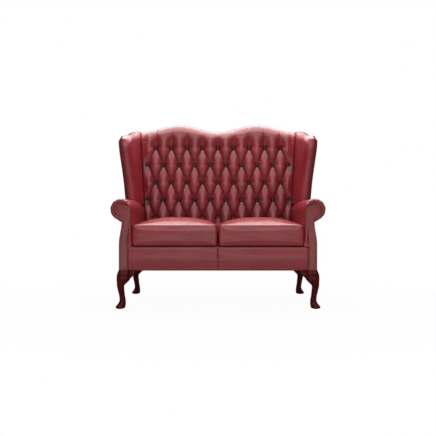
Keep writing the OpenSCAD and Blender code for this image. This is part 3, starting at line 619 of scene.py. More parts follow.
cushion = {
    "width": 0.4934, "centreX": 0.2517, "front": 0.004, "rear": 0.521, "bottom": 0.360, "height": 0.122,
    "crown": 0.045, "crownPower": 2.6, "drawIn": 0.002, "corner": 0.013, "tuck": 0.005, "sideBulge": 0.0026,
    "frontBulge": 0.0055, "shrink": 0.0006, "seam": 0.0012, "seamPoints": 260, "coreIn": 0.010,
    "coreRound": 0.016, "cuts": 40, "voxel": 0.0060, "frames": 14, "cap": 0.0034, "hold": 0.85,
    "frontWrinkle": 0.0042,
    "wrinkles": 11, "wrinkleX": 0.16, "wrinkleY": 0.18, "slant": 0.35, "reach": (0.07, 0.14),
    "deep": (0.0008, 0.0018), "wrinkleWidth": 0.006, "topWave": 0.0014,
}
coverCloth = {
    "use_pressure": True, "uniform_pressure_force": 2.0, "mass": 0.35, "tension_stiffness": 22,
    "compression_stiffness": 14, "bending_stiffness": 0.8, "quality": 6,
}
cushionY = depth((cushion["front"] + cushion["rear"]) / 2)


def arch(s):
    return 1 - min(1.0, abs(s)) ** cushion["crownPower"]


# a place on the cushion from its place on a cube: u across, v front to back, w up
def cushionPoint(u, v, w, side, inset=0.0):
    halfW = cushion["width"] / 2 - inset
    halfD = (cushion["rear"] - cushion["front"]) / 2 - inset
    corner, lift, bulge = cushion["corner"], (w + 1) / 2, 1 - w * w
    x, y = u * halfW, v * halfD
    fx, fy = max(0.0, abs(x) - (halfW - corner)), max(0.0, abs(y) - (halfD - corner))
    if fx > 0 and fy > 0:      # rounds the upright corners
        big, far = max(fx, fy), hypot(fx, fy)
        x = copysign(halfW - corner + fx * big / far, x)
        y = copysign(halfD - corner + fy * big / far, y)
    x -= copysign(cushion["drawIn"] * (1 - v * v), u) * abs(u) ** 3
    y -= copysign(cushion["drawIn"] * 0.5 * (1 - u * u), v) * abs(v) ** 3
    x += copysign(cushion["sideBulge"] * bulge, u) * smooth((abs(u) - 0.85) / 0.15)
    y += copysign(cushion["frontBulge"] * bulge, v) * smooth((abs(v) - 0.85) / 0.15)
    z = mix(inset, cushion["height"] - inset, lift) + cushion["crown"] * arch(u) * arch(v) * lift ** 2
    # softer lower edge
    z += cushion["tuck"] * smooth((max(abs(u), abs(v)) - 0.9) / 0.1) * max(0.0, -w - 0.4)
    return Vector((side * cushion["centreX"] + x, cushionY + y, cushion["bottom"] + z))


def cushionMesh(side, inset):
    bm = bmesh.new()
    bmesh.ops.create_cube(bm, size=2)
    bmesh.ops.subdivide_edges(bm, edges=bm.edges[:], cuts=cushion["cuts"], use_grid_fill=True)
    for v in bm.verts:
        v.co = cushionPoint(*v.co, side, inset)
    return bm


def applyModifiers(piece):
    graph = bpy.context.evaluated_depsgraph_get()
    mesh = bpy.data.meshes.new_from_object(piece.evaluated_get(graph))
    piece.modifiers.clear()
    piece.data = mesh


# swells a cover with cloth under pressure, keeps it near where it began and moves the seam with it
def inflate(piece, seam, low, high):
    remesh = piece.modifiers.new("remesh", "REMESH")
    remesh.mode = "VOXEL"
    remesh.voxel_size = cushion["voxel"]
    applyModifiers(piece)
    started = [v.co.copy() for v in piece.data.vertices]
    outward = [v.normal.copy() for v in piece.data.vertices]
    cloth = piece.modifiers.new("cloth", "CLOTH")
    for key, value in coverCloth.items():
        setattr(cloth.settings, key, value)
    cloth.settings.effector_weights.gravity = 0
    cloth.point_cache.frame_start = 1
    cloth.point_cache.frame_end = cushion["frames"]
    for number in range(1, cushion["frames"] + 1):
        scene.frame_set(number)
    graph = bpy.context.evaluated_depsgraph_get()
    moved = [v.co.copy() for v in piece.evaluated_get(graph).data.vertices]
    piece.modifiers.remove(cloth)
    scene.frame_set(1)
    near = kdtree.KDTree(len(started))
    for number, (old, new, out) in enumerate(zip(started, moved, outward)):
        near.insert(old, number)
        step = new - old
        step -= out * min(0.0, step.dot(out)) * cushion["hold"]      # hardly any point sinks in
        if step.length > cushion["cap"]:
            step *= cushion["cap"] / step.length
        co = old + step
        piece.data.vertices[number].co = [clamp(*each) for each in zip(co, low, high)]
    near.balance()
    for k, point in enumerate(seam):
        number = near.find(point)[1]
        seam[k] = point + piece.data.vertices[number].co - started[number]


# a thin closed tube along a path
def seamMesh(path, radius, around=8):
    count = len(path)

    def place(i, j):
        j %= count
        along = (path[(j + 1) % count] - path[j - 1]).normalized()
        out = along.cross(Vector((0, 0, 1))).normalized()
        up = out.cross(along)
        a = 2 * pi * i / around
        return path[j] + out * (radius * cos(a)) + up * (radius * sin(a))

    return gridMesh(around, count, place, 1e-6)


# long soft lines across the crown, and finer ones along the front
def cushionWrinkles(piece, side):
    rng = random.Random(5 + side)
    ranges = [(-cushion[key], cushion[key]) for key in ("wrinkleX", "wrinkleY", "slant")]
    ranges += [cushion["reach"], cushion["deep"]]
    lines = [[rng.uniform(*each) for each in ranges] for _ in range(cushion["wrinkles"])]
    width = cushion["wrinkleWidth"]
    for vertex in piece.data.vertices:
        co = vertex.co
        x, y = co.x - side * cushion["centreX"], co.y - cushionY
        top = smooth((co.z - 0.47) / 0.03)
        drop = -cushion["topWave"] * waves(x * 9, y * 22, 3.1 + side)
        for lineX, lineY, slant, reach, deep in lines:
            drop += deep * bell(x - lineX, reach) * bell(y - lineY - slant * (x - lineX), width)
        co.z -= drop * top
        front = smooth((-y - 0.24) / 0.015) * (1 - top)
        co.y += front * cushion["frontWrinkle"] * waves(x * 5, co.z * 40 + x * 3, 9.7 + side)


# the foam inside a cushion, a little smaller than its solid and rounded
def coreMesh(node):
    low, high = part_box(node)
    bm = bmesh.new()
    bmesh.ops.create_cube(bm, size=1)
    bmesh.ops.scale(bm, verts=bm.verts[:], vec=(high - low) - Vector((2, 2, 2)) * cushion["coreIn"])
    bmesh.ops.translate(bm, verts=bm.verts[:], vec=(low + high) / 2)
    bmesh.ops.bevel(bm, geom=bm.edges[:], offset=cushion["coreRound"], segments=4, profile=0.5, affect="EDGES",
            material=-1)
    return bm


# the upper edge of a cushion, all round
def seamPath(side, inset):
    corners = [(-1, -1), (1, -1), (1, 1), (-1, 1)]
    path = []
    for (u0, v0), (u1, v1) in zip(corners, corners[1:] + corners[:1]):
        path += [cushionPoint(mix(u0, u1, k / 60), mix(v0, v1, k / 60), 1, side, inset) for k in range(60)]
    return path


for side, sideName in sides:
    body = "cushion_" + sideName
    inset = cushion["shrink"]
    cover = sidePiece(cushionMesh(side, inset), "cushionCover", sideName, redLeather, body=body, fill=0.85)
    path = seamPath(side, inset)
    low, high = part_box("cushion_cover_" + sideName)
    inflate(cover, path, low - Vector((0.001, 0.007, 0)), high + Vector((0.001, 0.0005, 0.001)))
    cushionWrinkles(cover, side)
    shadeSmooth(cover.data)
    finer = cover.modifiers.new("subdivision", "SUBSURF")
    finer.levels = finer.render_levels = 1
    applyModifiers(cover)
    setPaintedShade(cover, lambda co: 0.0)
    path = [0.25 * path[k - 1] + 0.5 * p + 0.25 * path[(k + 1) % len(path)] for k, p in enumerate(path)]
    seam = evenly(path, cushion["seamPoints"], closed=True)
    makePiece(seamMesh(seam, cushion["seam"]), "cushionSeam_" + sideName, redLeather, body=body)
    sidePiece(coreMesh("cushion_core_" + sideName), "cushionCore", sideName, yellowFoam, body=body, slot="foam")
    print("cushion", sideName, len(cover.data.vertices), "points")

# the rim is in millimetres: inwards from the outline, and back from the front
arm = {
    "neckDrop": 0.075, "neckRun": 0.125, "waistIn": 0.015, "around": 320, "steps": 30, "front": 0.0073,
    "rim": ((26, 0.4), (22, -2.2), (16, -4.9), (10, -4.6), (5, -1.2), (1.5, 5.0), (0, 12)), "rimSteps": 20,
    "pleats": (-42, -8, 27, 62, 96, 132), "pleatDepth": 0.0042, "pleatWidth": 0.0024, "tuckUnder": 0.0046,
    "rimCut": 0.82, "stemCut": 0.45, "padFoot": 0.3425,
}
neckX = sofa["armOut"] - arm["waistIn"]
neckZ = rollZ - arm["neckDrop"]


# the outside of an arm from its foot up to the neck under the roll
def armCurve(count):
    return [(sofa["armOut"] - arm["waistIn"] * smooth(i / count), neckZ - arm["neckRun"] * (1 - i / count))
            for i in range(count + 1)]


toNeck = Vector((neckX - rollX, neckZ - rollZ))
rollStart = atan2(toNeck.y, toNeck.x) + acos(sofa["rollR"] / toNeck.length)
rollTurns = [mix(rollStart, pi, i / 40) for i in range(41)]
innerX, deckTop = sofa["borderX"] + sofa["gap"], sofa["deckZ"] + sofa["gap"]
armRing = evenly([(innerX, sofa["legH"]), (sofa["armOut"], sofa["legH"]), *armCurve(12),
        *((rollX + sofa["rollR"] * cos(a), rollZ + sofa["rollR"] * sin(a)) for a in rollTurns),
        (sofa["armIn"], deckTop), (innerX, deckTop)], arm["around"], closed=True)


# outwards at each point of a ring that runs anticlockwise
def ringNormals(ring):
    out = []
    for i in range(len(ring)):
        along = (ring[(i + 1) % len(ring)] - ring[i - 1]).normalized()
        out.append(Vector((along.y, -along.x)))
    return out


armOut = ringNormals(armRing)


# 1 in the middle of a pleat gathered round the front of the roll
def pleatAt(x, z):
    away = hypot(x - rollX, z - rollZ)
    if away < 0.03 or z < neckZ:
        return 0.0
    angle = degrees(atan2(z - rollZ, x - rollX))
    return bell(radians(min(abs(angle - a) for a in arm["pleats"])) * away, arm["pleatWidth"])


# size of the padded front rim: full round the roll, small where it meets the border and the floor side
def rimSize(p):
    inner = smooth((sofa["armIn"] + 0.035 - p.x) / 0.012) * smooth((sofa["deckZ"] + 0.045 - p.y) / 0.03)
    low = smooth((sofa["legH"] + 0.006 - p.y) / 0.005)
    stem = arm["stemCut"] * smooth((neckZ + 0.02 - p.y) / 0.06) * smooth((p.x - sofa["armIn"] - 0.04) / 0.02)
    return 1 - max(arm["rimCut"] * inner, arm["rimCut"] * low, stem)


def armMesh(side):
    rim = evenly(curveThrough([(a / 1000, b / 1000) for a, b in arm["rim"]], 8), arm["rimSteps"])
    half = len(rim) // 2
    frontY = depth(arm["front"])

    def place(i, j):
        i %= arm["around"]
        p, out = armRing[i], armOut[i]
        size = rimSize(p)
        pull = arm["pleatDepth"] * pleatAt(p.x, p.y)
        if j < len(rim):
            inward = rim[j].x
            if j > half:
                inward *= size
            elif size < 1:
                inward = mix(rim[0].x, rim[half].x * size, j / half)
            sunk = pull * smooth((rim[0].x - inward) / 0.010)
            x, z = p - out * (inward + sunk * 0.6)
            return Vector((side * x, frontY + rim[j].y * size + sunk, z))
        body = Vector((p.x, max(p.y, arm["padFoot"])))
        if p.x > rollX - 0.02 and p.y < rollZ - 0.03:
            body.x -= arm["tuckUnder"]      # goes under the outside panel
        start = frontY + rim[-1].y * size
        end = depth(depthAt(p.y, back["postRear"]) - 0.0005)
        y = mix(start, end, ((j - len(rim) + 1) / arm["steps"]) ** 1.3)
        near = exp(-(y - frontY) / 0.030)
        x, z = p.lerp(body, smooth((y - start) / 0.004))
        lift = 0.0009 * waves(x * 12, y * 9, z * 12 + side) * (1 - near) - pull * near * 0.7
        return Vector((side * (x + out.x * lift), y, z + out.y * lift))

    return closeEnds(gridMesh(arm["around"], len(rim) + arm["steps"] - 1, place, 1e-6))


for side, sideName in sides:
    pad = sidePiece(armMesh(side), "armPad", sideName, redLeather, fill=0.8, sharp=60)
    # painted shade in the pleats round the front of the roll, fading back from the front
    setPaintedShade(pad, lambda co: 0.5 * pleatAt(abs(co.x), co.z) * exp(-max(0.0, co.y - depth(0.012)) / 0.02))
print("arms ready")

# line of nails round the facing, from the outer foot over the roll to the inner foot
nailFoot = sofa["legH"] + 0.007
nailLine = [
    (sofa["armOut"] - 0.009, nailFoot),
    *((sofa["armOut"] - x, neckZ + z) for x, z in (
        (0.009, -0.107), (0.017, -0.063), (0.026, -0.018), (0.027, 0.006))),
    *((rollX + x, rollZ + z) for x, z in (
        (-0.006, -0.049), (0.014, -0.029), (0.029, -0.012), (0.031, 0.004), (0.022, 0.015), (-0.004, 0.020),
        (-0.033, 0.013), (-0.046, -0.007), (-0.048, -0.036))),
    *((sofa["armIn"] + x, neckZ - z) for x, z in (
        (0.018, 0.005), (0.0245, 0.049), (0.032, 0.089), (0.034, 0.151))),
    (sofa["armIn"] + 0.033, nailFoot),
]
facing = {"thick": 0.0067, "margin": 0.0064, "around": 240, "roundEdge": 0.0016}


# a plate with rounded edges, a little outside the line of nails
def facingMesh(side):
    ring = evenly(nailLine, facing["around"], closed=True)
    data = bpy.data.curves.new("outline", "CURVE")
    data.dimensions, data.fill_mode = "2D", "BOTH"
    data.extrude, data.bevel_depth = facing["thick"] / 2 - facing["roundEdge"], facing["roundEdge"]
    data.bevel_resolution, data.offset = 3, -facing["roundEdge"]
    spline = data.splines.new("POLY")
    spline.points.add(len(ring) - 1)
    for point, p, out in zip(spline.points, ring, ringNormals(ring)):
        x, z = p + out * facing["margin"]
        point.co = (side * x, z, 0, 1)
    spline.use_cyclic_u = True
    holder = addObject("outline", data)
    mesh = bpy.data.meshes.new_from_object(holder.evaluated_get(bpy.context.evaluated_depsgraph_get()))
    bpy.data.objects.remove(holder)
    bpy.data.curves.remove(data)
    bm = bmesh.new()
    bm.from_mesh(mesh)
    bpy.data.meshes.remove(mesh)
    bmesh.ops.remove_doubles(bm, verts=bm.verts[:], dist=1e-5)
    bmesh.ops.rotate(bm, verts=bm.verts[:], matrix=Matrix.Rotation(pi / 2, 3, "X"))
    bmesh.ops.translate(bm, verts=bm.verts[:], vec=(0, depth(facing["thick"] / 2), 0))
    return bm


nail = {
    "radius": 0.0055, "height": 0.0029, "turns": 12, "pitch": 0.012, "perArm": 68, "sunk": 0.0009,
    "proud": 0.0004,
    "profile": ((0.0, 1.0), (0.38, 0.90), (0.72, 0.60), (0.93, 0.22), (1.0, 0.0)),
}


# a row of nails; rim is 1 round the foot of each nail and 0 on its crown, for the patina and the painted shade
# between the nails
def nailRow(places, word, sideName):
    heads = sidePiece(scattered(domeMesh(nail), places), word, sideName, brass, slot="brass")
    per = len(heads.data.vertices) // len(places)
    values = []
    for k, place in enumerate(places):
        home = place.inverted()
        own = heads.data.vertices[k * per:(k + 1) * per]
        values += [1 - clamp((home @ v.co).z / nail["height"]) for v in own]
    setPoints(heads, "rim", values)


standsUp = Matrix.Rotation(pi / 2, 4, "X")
for side, sideName in sides:
    sidePiece(facingMesh(side), "armFacing", sideName, redLeather, fill=0.9)
    spots = [(side * p.x, depth(nail["sunk"]), p.y) for p in evenly(nailLine, nail["perArm"], closed=True)]
    nailRow([Matrix.Translation(spot) @ standsUp for spot in spots], "armNails", sideName)
print("facings and nails ready")

# edge is how the front of a wing sways up its height, line how its top runs back
wing = {
    "base": 0.078, "ref": 0.700, "front": 0.400, "top": 1.129, "low": rollZ + 0.037, "flare": 0.028,
    "flareRise": 0.028, "panel": 0.004, "nose": 0.040, "rows": 54, "around": 44, "shoulder": 0.030,
    "topRows": 10, "noseShare": 0.385, "noseDepth": 0.13, "nailIn": 0.009, "nailTurn": 38, "nailTilt": 55,
    "softDrop": 0.028, "softTo": 0.66, "softTimes": 6, "flareRun": 0.3, "innerFall": 0.14, "panelDrop": 0.020,
    "panelStart": 0.07, "panelSwell": 0.0014,
    "edge": ((0, -0.001), (0.27, 0.005), (0.46, -0.010), (0.65, -0.030), (0.79, -0.028), (0.86, -0.008), (1, 0)),
    "line": ((-0.030, -0.099), (-0.005, -0.088), (0.015, -0.076), (0.044, -0.064), (0.166, -0.041), (0.300, 0),
        (0.400, 0.012)),
}


# the outer face of a wing, which leans out and flares to the front
def wingX(y, z):
    return (sofa["armIn"] + wing["base"] + sofa["wingLean"] * (z - sofa["armTop"])
            + (wing["ref"] - y) / wing["flareRun"] * (wing["flare"] + wing["flareRise"] * (z - sofa["armTop"])))


def wingIn(y, z):
    return padHalf(z) + 0.001 + wing["innerFall"] * max(0.0, depthAt(z, 0) - y)


def wingEdge(z):
    f = (z - wing["low"]) / (wing["top"] - wing["low"])
    return wing["front"] + sum(lookup(f + o, wing["edge"]) for o in (-0.05, 0, 0.05)) / 3


def wingLine(y):
    return wing["top"] + sum(lookup(y - wing["front"] + o, wing["line"]) for o in (-0.014, 0, 0.014)) / 3


# depth and height at share f up a wing and share s of the way back, drop below its top line
def wingRow(f, drop, s):
    y0 = wingEdge(wing["low"] + f * (wingLine(wing["front"]) - drop - wing["low"]))
    y1 = depthAt(wing["low"] + f * (wing["top"] - wing["low"]), back["postRear"])
    y = mix(y0, y1, s)
    return y, wing["low"] + f * (wingLine(y) - drop - wing["low"])


def wingFace(y, z, behind, way, thick=1.0):
    outer, inner = wingX(y, z) - wing["panel"] - sofa["gap"], wingIn(y, z)
    run = clamp(behind / wing["nose"])
    half = (outer - inner) / 2 * thick * sqrt(max(0.0, 1 - (1 - run) ** 2.2))
    return (outer + inner) / 2 + way * half


def wingMesh(side):
    around, nose, deep = wing["around"], wing["noseShare"], wing["noseDepth"]
    shares = [deep * (1 - cos(k / around * 1.3 * pi)) if k / around < nose
            else mix(deep, 1.0, (k / around - nose) / (1 - nose)) for k in range(around + 1)]
    levels = [(k / wing["rows"], wing["shoulder"], 1.0) for k in range(wing["rows"] + 1)]
    for k in range(1, wing["topRows"] + 1):      # rounds the top over the shoulder
        turn = k / wing["topRows"] * pi / 2
        levels.append((1.0, wing["shoulder"] * (1 - sin(turn)), max(0.0, cos(turn)) ** 0.8))
    span = 2 * around

    def place(i, j):
        i %= span + 1
        f, drop, thick = levels[j]
        way = -1 if i < around else 1
        y, z = wingRow(f, drop, shares[abs(i - around)])
        x = wingFace(y, z, y - wingRow(f, drop, 0)[0], way, thick)
        ripple = 0.0006 * waves(y * 10, z * 8, 4.0 + side)
        return Vector((side * (x + way * ripple * thick), depth(y), z))

    bm = closeEnds(gridMesh(span + 1, len(levels) - 1, place, 2e-5))
    soft = [v for v in bm.verts if v.co.y < depth(wing["softTo"])
            and v.co.z > wingLine(v.co.y + sofa["midY"]) - wing["softDrop"]]
    for _ in range(wing["softTimes"]):
        bmesh.ops.smooth_vert(bm, verts=soft, factor=0.5, use_axis_x=True, use_axis_y=True, use_axis_z=True)
    return bm


def wingPanelMesh(side):
    rows, columns = 34, 30

    def place(i, j):
        y, z = wingRow(j / rows, wing["panelDrop"], mix(wing["panelStart"], 1, i / columns))
        swollen = wing["panelSwell"] * rounded(i / columns) * rounded(j / rows)
        return Vector((side * (wingX(y, z) + swollen), depth(y), z))

    return panelFrom(gridMesh(columns, rows, place), wing["panel"], Vector((-side, 0, 0)))


# up the front edge of a wing, then back along its top
def wingNailPlaces(side):
    nailIn = wing["nailIn"]
    foot, head = sofa["armTop"] + 0.008, wingLine(wing["front"]) - 0.012
    start, end = wing["front"] + 0.014, depthAt(wing["top"], 0.084) - 0.012
    heights = [mix(foot, head, k / 24) for k in range(25)]
    depths = [mix(start, end, k / 20) for k in range(21)]
    faceTurn = Matrix.Rotation(radians(wing["nailTurn"] * side), 4, "Z") @ standsUp
    topTurn = Matrix.Rotation(radians(wing["nailTilt"] * side), 4, "Y")
    places = []
    for path, top in (([(wingEdge(z) + nailIn, z) for z in heights], False),
            ([(y, wingLine(y) - nailIn) for y in depths], True)):
        length = sum((Vector(b) - Vector(a)).length for a, b in zip(path, path[1:]))
        for y, z in evenly(path, int(length / nail["pitch"]) + 1):
            x = wingFace(y, z, y - wing["front"], 1, 0.80) if top else wingFace(y, z, nailIn, 1)
            spot = (side * (x + nail["proud"]), depth(y), z)
            places.append(Matrix.Translation(spot) @ (topTurn if top else faceTurn))
    return places


for side, sideName in sides:
    sidePiece(wingMesh(side), "wingPad", sideName, redLeather, fill=0.8)
    sidePiece(wingPanelMesh(side), "outsideWing", sideName, redLeather, sharp=45)
    nailRow(wingNailPlaces(side), "wingNails", sideName)
print("wings ready")

# the profile is in depth and height, from under the border up its face and over its top
border = {
    "seam": 0.0032, "seamWidth": 0.0026, "pull": 0.0006, "wave": 0.0007, "endRound": 0.003,
    "columns": 260, "rows": 46,
    "profile": (
        (0.0147, 0.221), (0.0118, 0.2212), (0.0092, 0.2245), (0.0076, 0.231), (0.0042, 0.250), (0.0010, 0.269),
        (-0.0014, 0.290), (-0.0012, 0.310), (0.0008, 0.330), (0.0038, 0.345), (0.0058, 0.3525), (0.0088, 0.3569),
        (0.0147, 0.358)),
}


def borderMesh():
    loop = evenly(curveThrough(border["profile"], 6), border["rows"])
    loop += [Vector((loop[0].x, z)) for z in (0.32, 0.26)]
    count = len(loop)

    def place(i, j):
        x = mix(-sofa["borderX"], sofa["borderX"], i / border["columns"])
        y, z = loop[j % count]
        face = smooth((0.012 - y) / 0.006)
        pull = border["pull"] * exp(-(abs(x) / 0.05)) * sin(z * 260 + 1.3)
        wave = border["wave"] * waves(x * 8, z * 26, 1.7) + 0.0006
        sunk = border["seam"] * bell(x, border["seamWidth"]) + pull + wave
        end = border["endRound"] * smooth((abs(x) - sofa["borderX"] + 0.006) / 0.006) ** 2
        return Vector((x, depth(y + face * (sunk + end)), z))

    return closeEnds(gridMesh(border["columns"], count, place, 1e-6))


frontBorder = makePiece(borderMesh(), "frontBorder", redLeather, ["front_border"], fill=0.85, sharp=60)
# painted shade along the sunk middle seam
setPaintedShade(frontBorder, lambda co: 0.8 * bell(co.x, 0.002))
print("border ready")

panelArm = {"thick": 0.004, "columns": 48, "rows": 35, "front": 0.0155, "in": 0.0014, "swell": 0.0012}
panelBack = {
    "thick": 0.0060, "columns": 120, "rows": 110, "seamIn": 0.017, "seam": 0.0010, "topDrop": 0.012, "out": 0.0006,
    "cornerDrop": 0.014, "cornerTop": 0.022, "edgeRound": 0.0024, "edgeIn": 0.004, "rear": 0.0063,
}


def outsideArmMesh(side):
    rows, columns = panelArm["rows"], panelArm["columns"]
    line = evenly([(sofa["armOut"], sofa["legH"]), *armCurve(20)], rows + 1)

    def place(i, j):
        x, z = line[j]
        y = mix(panelArm["front"], depthAt(z, back["postRear"]), i / columns)
        ripple = 0.0006 * waves(y * 7, z * 12, side * 3.3)
        swollen = (panelArm["swell"] + ripple) * rounded(i / columns) * rounded(j / rows)
        return Vector((side * (x - panelArm["in"] + swollen), depth(y), z))

    return panelFrom(gridMesh(columns, rows, place), panelArm["thick"], Vector((-side, 0, 0)))


# half width of the outside of the back at a height
def backHalf(z):
    low = [(sofa["legH"], sofa["armOut"])] + [(height, x) for x, height in armCurve(12)]
    high = [(height, wingX(wing["ref"], height) - 0.001)
            for height in (sofa["armTop"], wing["top"] - panelBack["cornerDrop"])]
    return lookup(z, low + high)


def backTop(x):
    half, outer = padHalf(sofa["crestTop"]), backHalf(wing["top"] - panelBack["cornerDrop"])
    f = clamp((abs(x) - half) / (outer - half))
    line = crestZ(min(abs(x), half)) - panelBack["topDrop"]
    return mix(line, wing["top"] - panelBack["cornerTop"], 1 - sqrt(1 - f ** 2.2))


def outsideBackMesh():
    columns, rows = panelBack["columns"], panelBack["rows"]
    face = back["postRear"] + panelBack["thick"] + panelBack["out"]
    rear = back["postRear"] + panelBack["rear"]

    def place(i, j):
        u = 2 * i / columns - 1
        z = mix(sofa["legH"], backTop(u * backHalf(1.2)), j / rows)
        x = u * backHalf(z)
        inward = min((1 - abs(u)) * backHalf(z), backTop(x) - z, z - sofa["legH"])
        n = face - panelBack["edgeRound"] * (1 - smooth(inward / panelBack["edgeIn"]))
        n += 0.0007 * waves(x * 6, z * 7, 8.0) * smooth(inward / 0.05)
        n -= panelBack["seam"] * bell(inward - panelBack["seamIn"], 0.0022)
        return backPoint(x, n, max(slopeAt(sofa["legH"], rear), slopeAt(z, rear)))

    return panelFrom(gridMesh(columns, rows, place), panelBack["thick"], Vector((0, -1, 0)))


for side, sideName in sides:
    sidePiece(outsideArmMesh(side), "outsideArm", sideName, redLeather, sharp=45)
makePiece(outsideBackMesh(), "outsideBack", redLeather, ["outside_back"], sharp=50)
print("outside panels ready")

# a leg has its depth, the way its foot turns and how far behind the knee the foot stands
leg = {
    "x": sofa["armOut"] - 0.029, "frontLeg": (0.033, -1, 0.0), "rearLeg": (0.600, 0.55, 0.035),
    "footOut": 0.0185, "footW": 0.056, "kneeW": 0.075, "ankle": 0.034, "around": 32, "perSpan": 5,
}


# rows up a leg: height, how far out it stands, its half width and how square it is
def legSections():
    out, foot, knee, ankle, top = leg["footOut"], leg["footW"], leg["kneeW"], leg["ankle"] / 2, sofa["legH"]
    return [
        (0.003, out + 0.002, foot * 0.38, 2), (0.0036, out + 0.002, foot * 0.45, 2),
        (0.0062, out + 0.0015, foot * 0.485, 2), (0.013, out, foot / 2, 2), (0.0205, out * 0.82, foot * 0.452, 2),
        (0.031, out * 0.60, ankle + 0.0046, 2), (0.044, out * 0.46, ankle + 0.0015, 2),
        (0.058, out * 0.50, ankle + 0.0005, 2), (0.075, out * 0.62, ankle, 2.1),
        (0.106, out * 0.86, ankle + 0.0018, 2.4), (top - 0.088, out, ankle + 0.004, 2.8),
        (top - 0.071, out * 0.62, knee * 0.39, 3.2), (top - 0.053, out * 0.25, knee / 2, 4.2),
        (top - 0.026, out * 0.19, knee * 0.487, 5.2), (top - 0.003, 0.0004, knee * 0.425, 7),
        (top, 0.0, knee * 0.415, 7),
    ]


# way is how the foot turns out to the front or rear, rake how far the foot stands behind
def legMesh(side, baseY, way, rake):
    sections = curveThrough(legSections(), leg["perSpan"])

    def place(i, j):
        z, out, r, power = sections[j]
        a = 2 * pi * i / leg["around"]
        c, s = cos(a), sin(a)
        reach = r / (abs(c) ** power + abs(s) ** power) ** (1 / power)
        y = way * out + rake * (1 - z / sofa["legH"]) ** 1.3 + reach * s
        return Vector((side * (leg["x"] + out + reach * c), depth(baseY + y), z))

    return closeEnds(gridMesh(leg["around"], len(sections) - 1, place, 1e-6))


for side, sideName in sides:
    for word in ("frontLeg", "rearLeg"):
        sidePiece(legMesh(side, *leg[word]), word, sideName, mahogany, slot="mahogany", sharp=70)

# a bracket beside a knee, from its corner under the rail
ear = {"thick": 0.026, "edge": 0.0022, "in": 0.030, "rearGap": 0.003, "railIn": 0.026, "outline": (
    (0, 0), (0.028, 0), (0.028, -0.018), (0.0265, -0.0225), (0.0225, -0.0245), (0.0205, -0.0285),
    (0.0205, -0.0335), (0.0165, -0.0395), (0.010, -0.0445), (0.004, -0.0505), (0, -0.053))}


# x points away from the knee and y across the bracket
def earMesh():
    bm = bmesh.new()
    face = bm.faces.new([bm.verts.new((x, 0, z)) for x, z in ear["outline"]])
    raised = bmesh.ops.extrude_face_region(bm, geom=[face])["geom"]
    top = [g for g in raised if isinstance(g, bmesh.types.BMVert)]
    bmesh.ops.translate(bm, verts=top, vec=(0, ear["thick"], 0))
    bmesh.ops.recalc_face_normals(bm, faces=bm.faces[:])
    bmesh.ops.bevel(bm, geom=[e for e in bm.edges if e.calc_face_angle(0) > 0.6], offset=ear["edge"], segments=2,
            profile=0.5, affect="EDGES", material=-1)
    return bm


kneeReach = leg["kneeW"] * 0.5 - leg["footOut"] * 0.22 - 0.0040
railIn = sofa["armOut"] - ear["railIn"]
frontY, rearY = leg["frontLeg"][0], leg["rearLeg"][0]
earPlaces = []
for side, sideName in sides:
    for x, y, away, across in (
            (leg["x"] - kneeReach, frontY - ear["in"], (-side, 0, 0), (0, 1, 0)),
            (railIn, frontY + kneeReach, (0, 1, 0), (side, 0, 0)),
            (railIn, rearY - kneeReach - ear["rearGap"], (0, -1, 0), (side, 0, 0))):
        turn = Matrix((away, across, (0, 0, 1))).transposed().to_4x4()
        earPlaces.append(Matrix.Translation((side * x, depth(y), sofa["legH"])) @ turn)
makePiece(scattered(earMesh(), earPlaces), "legEars", mahogany, ["leg_ears"], slot="mahogany", sharp=40)
print("legs ready")

studio = {"floor": 30.0, "floorTone": 0.34, "shadow": 0.035, "reach": 1.7, "world": 0.10}
# name, place, what it points at, width and height, power
softLights = (
    ("overhead", (0, -0.05, 3.0), (0, 0, 0.6), (3.4, 2.2), 128.0),
    ("front", (0, -3.6, 2.9), (0, 0, 0.5), (3.6, 1.6), 66.0),
    ("low", (0, -3.0, 0.24), (0, 0, 0.4), (2.8, 0.34), 13.5),
    ("rear", (0, 1.5, 2.7), (0, 0.1, 0.8), (3.0, 1.0), 70.0),
    ("leftFill", (-3.2, -2.2, 1.5), (0, 0, 0.6), (1.2, 2.0), 2.0),
    ("rightFill", (3.2, -2.2, 1.5), (0, 0, 0.6), (1.2, 2.0), 2.0),
)


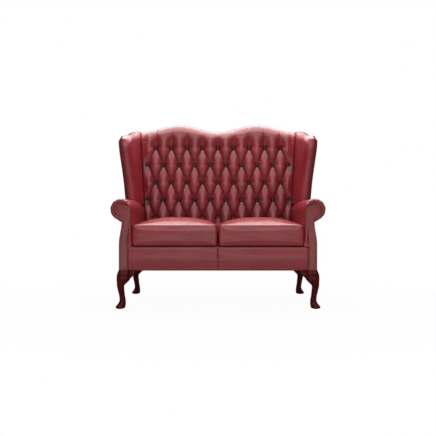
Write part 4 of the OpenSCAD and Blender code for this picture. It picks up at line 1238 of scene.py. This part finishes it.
# white to the camera, with a little of the real shadow kept
def whiteFloor():
    material, tree, shader = shaderTree("white floor")
    tone = studio["floorTone"]
    setInputs(tree, shader, {"Base Color": (tone, tone, tone, 1), "Roughness": 0.9})
    path = addNode(tree, "LightPath", {}).outputs
    seen = addNode(tree, "Math", {0: path["Is Camera Ray"], 1: path["Is Transmission Ray"]},
            operation="MAXIMUM").outputs[0]
    away = addNode(tree, "VectorMath", {0: objectCoords(tree)}, operation="LENGTH").outputs["Value"]
    keep = rangeOf(tree, away, studio["reach"] * 0.4, studio["reach"], 1 - studio["shadow"], 1.0)
    part = addNode(tree, "Math", {0: seen, 1: keep}, operation="MULTIPLY").outputs[0]
    glow = addNode(tree, "Emission", {"Color": (1, 1, 1, 1), "Strength": 1.0}).outputs[0]
    both = addNode(tree, "MixShader", {0: part, 1: shader.outputs[0], 2: glow}).outputs[0]
    tree.links.new(both, tree.nodes["Material Output"].inputs["Surface"])
    return material


sheet = bmesh.new()
bmesh.ops.create_grid(sheet, x_segments=8, y_segments=8, size=studio["floor"])
floorMesh = meshOf(sheet, "floor")
floorMesh.materials.append(whiteFloor())
addObject("floor", floorMesh)

world = bpy.data.worlds.new("studio")
scene.world = world
world.use_nodes = True
tree = world.node_tree
cameraRay = addNode(tree, "LightPath", {}).outputs["Is Camera Ray"]
setInputs(tree, tree.nodes["Background"], {
    "Color": (1, 1, 1, 1), "Strength": rangeOf(tree, cameraRay, 0.0, 1.0, studio["world"], 1.0)})

for name, place, aim, (width, height), power in softLights:
    data = bpy.data.lights.new(name, "AREA")
    data.shape = "RECTANGLE"
    data.size, data.size_y = width, height
    data.energy = power
    lamp = addObject(name, data)
    lamp.location = place
    lamp.rotation_euler = (Vector(aim) - Vector(place)).to_track_quat("-Z", "Y").to_euler()

camera = {"lens": 47.2, "sensor_width": 36.0, "shift_y": -2 / 436}
cameraPlace = (0.0, -3.6865, 0.537)
cameraData = bpy.data.cameras.new("camera")
for key, value in camera.items():
    setattr(cameraData, key, value)
cameraObject = addObject("camera", cameraData)
cameraObject.location = cameraPlace
cameraObject.rotation_euler = (pi / 2, 0, 0)
scene.camera = cameraObject
scene.view_settings.view_transform = "Standard"
print("lights and camera ready")
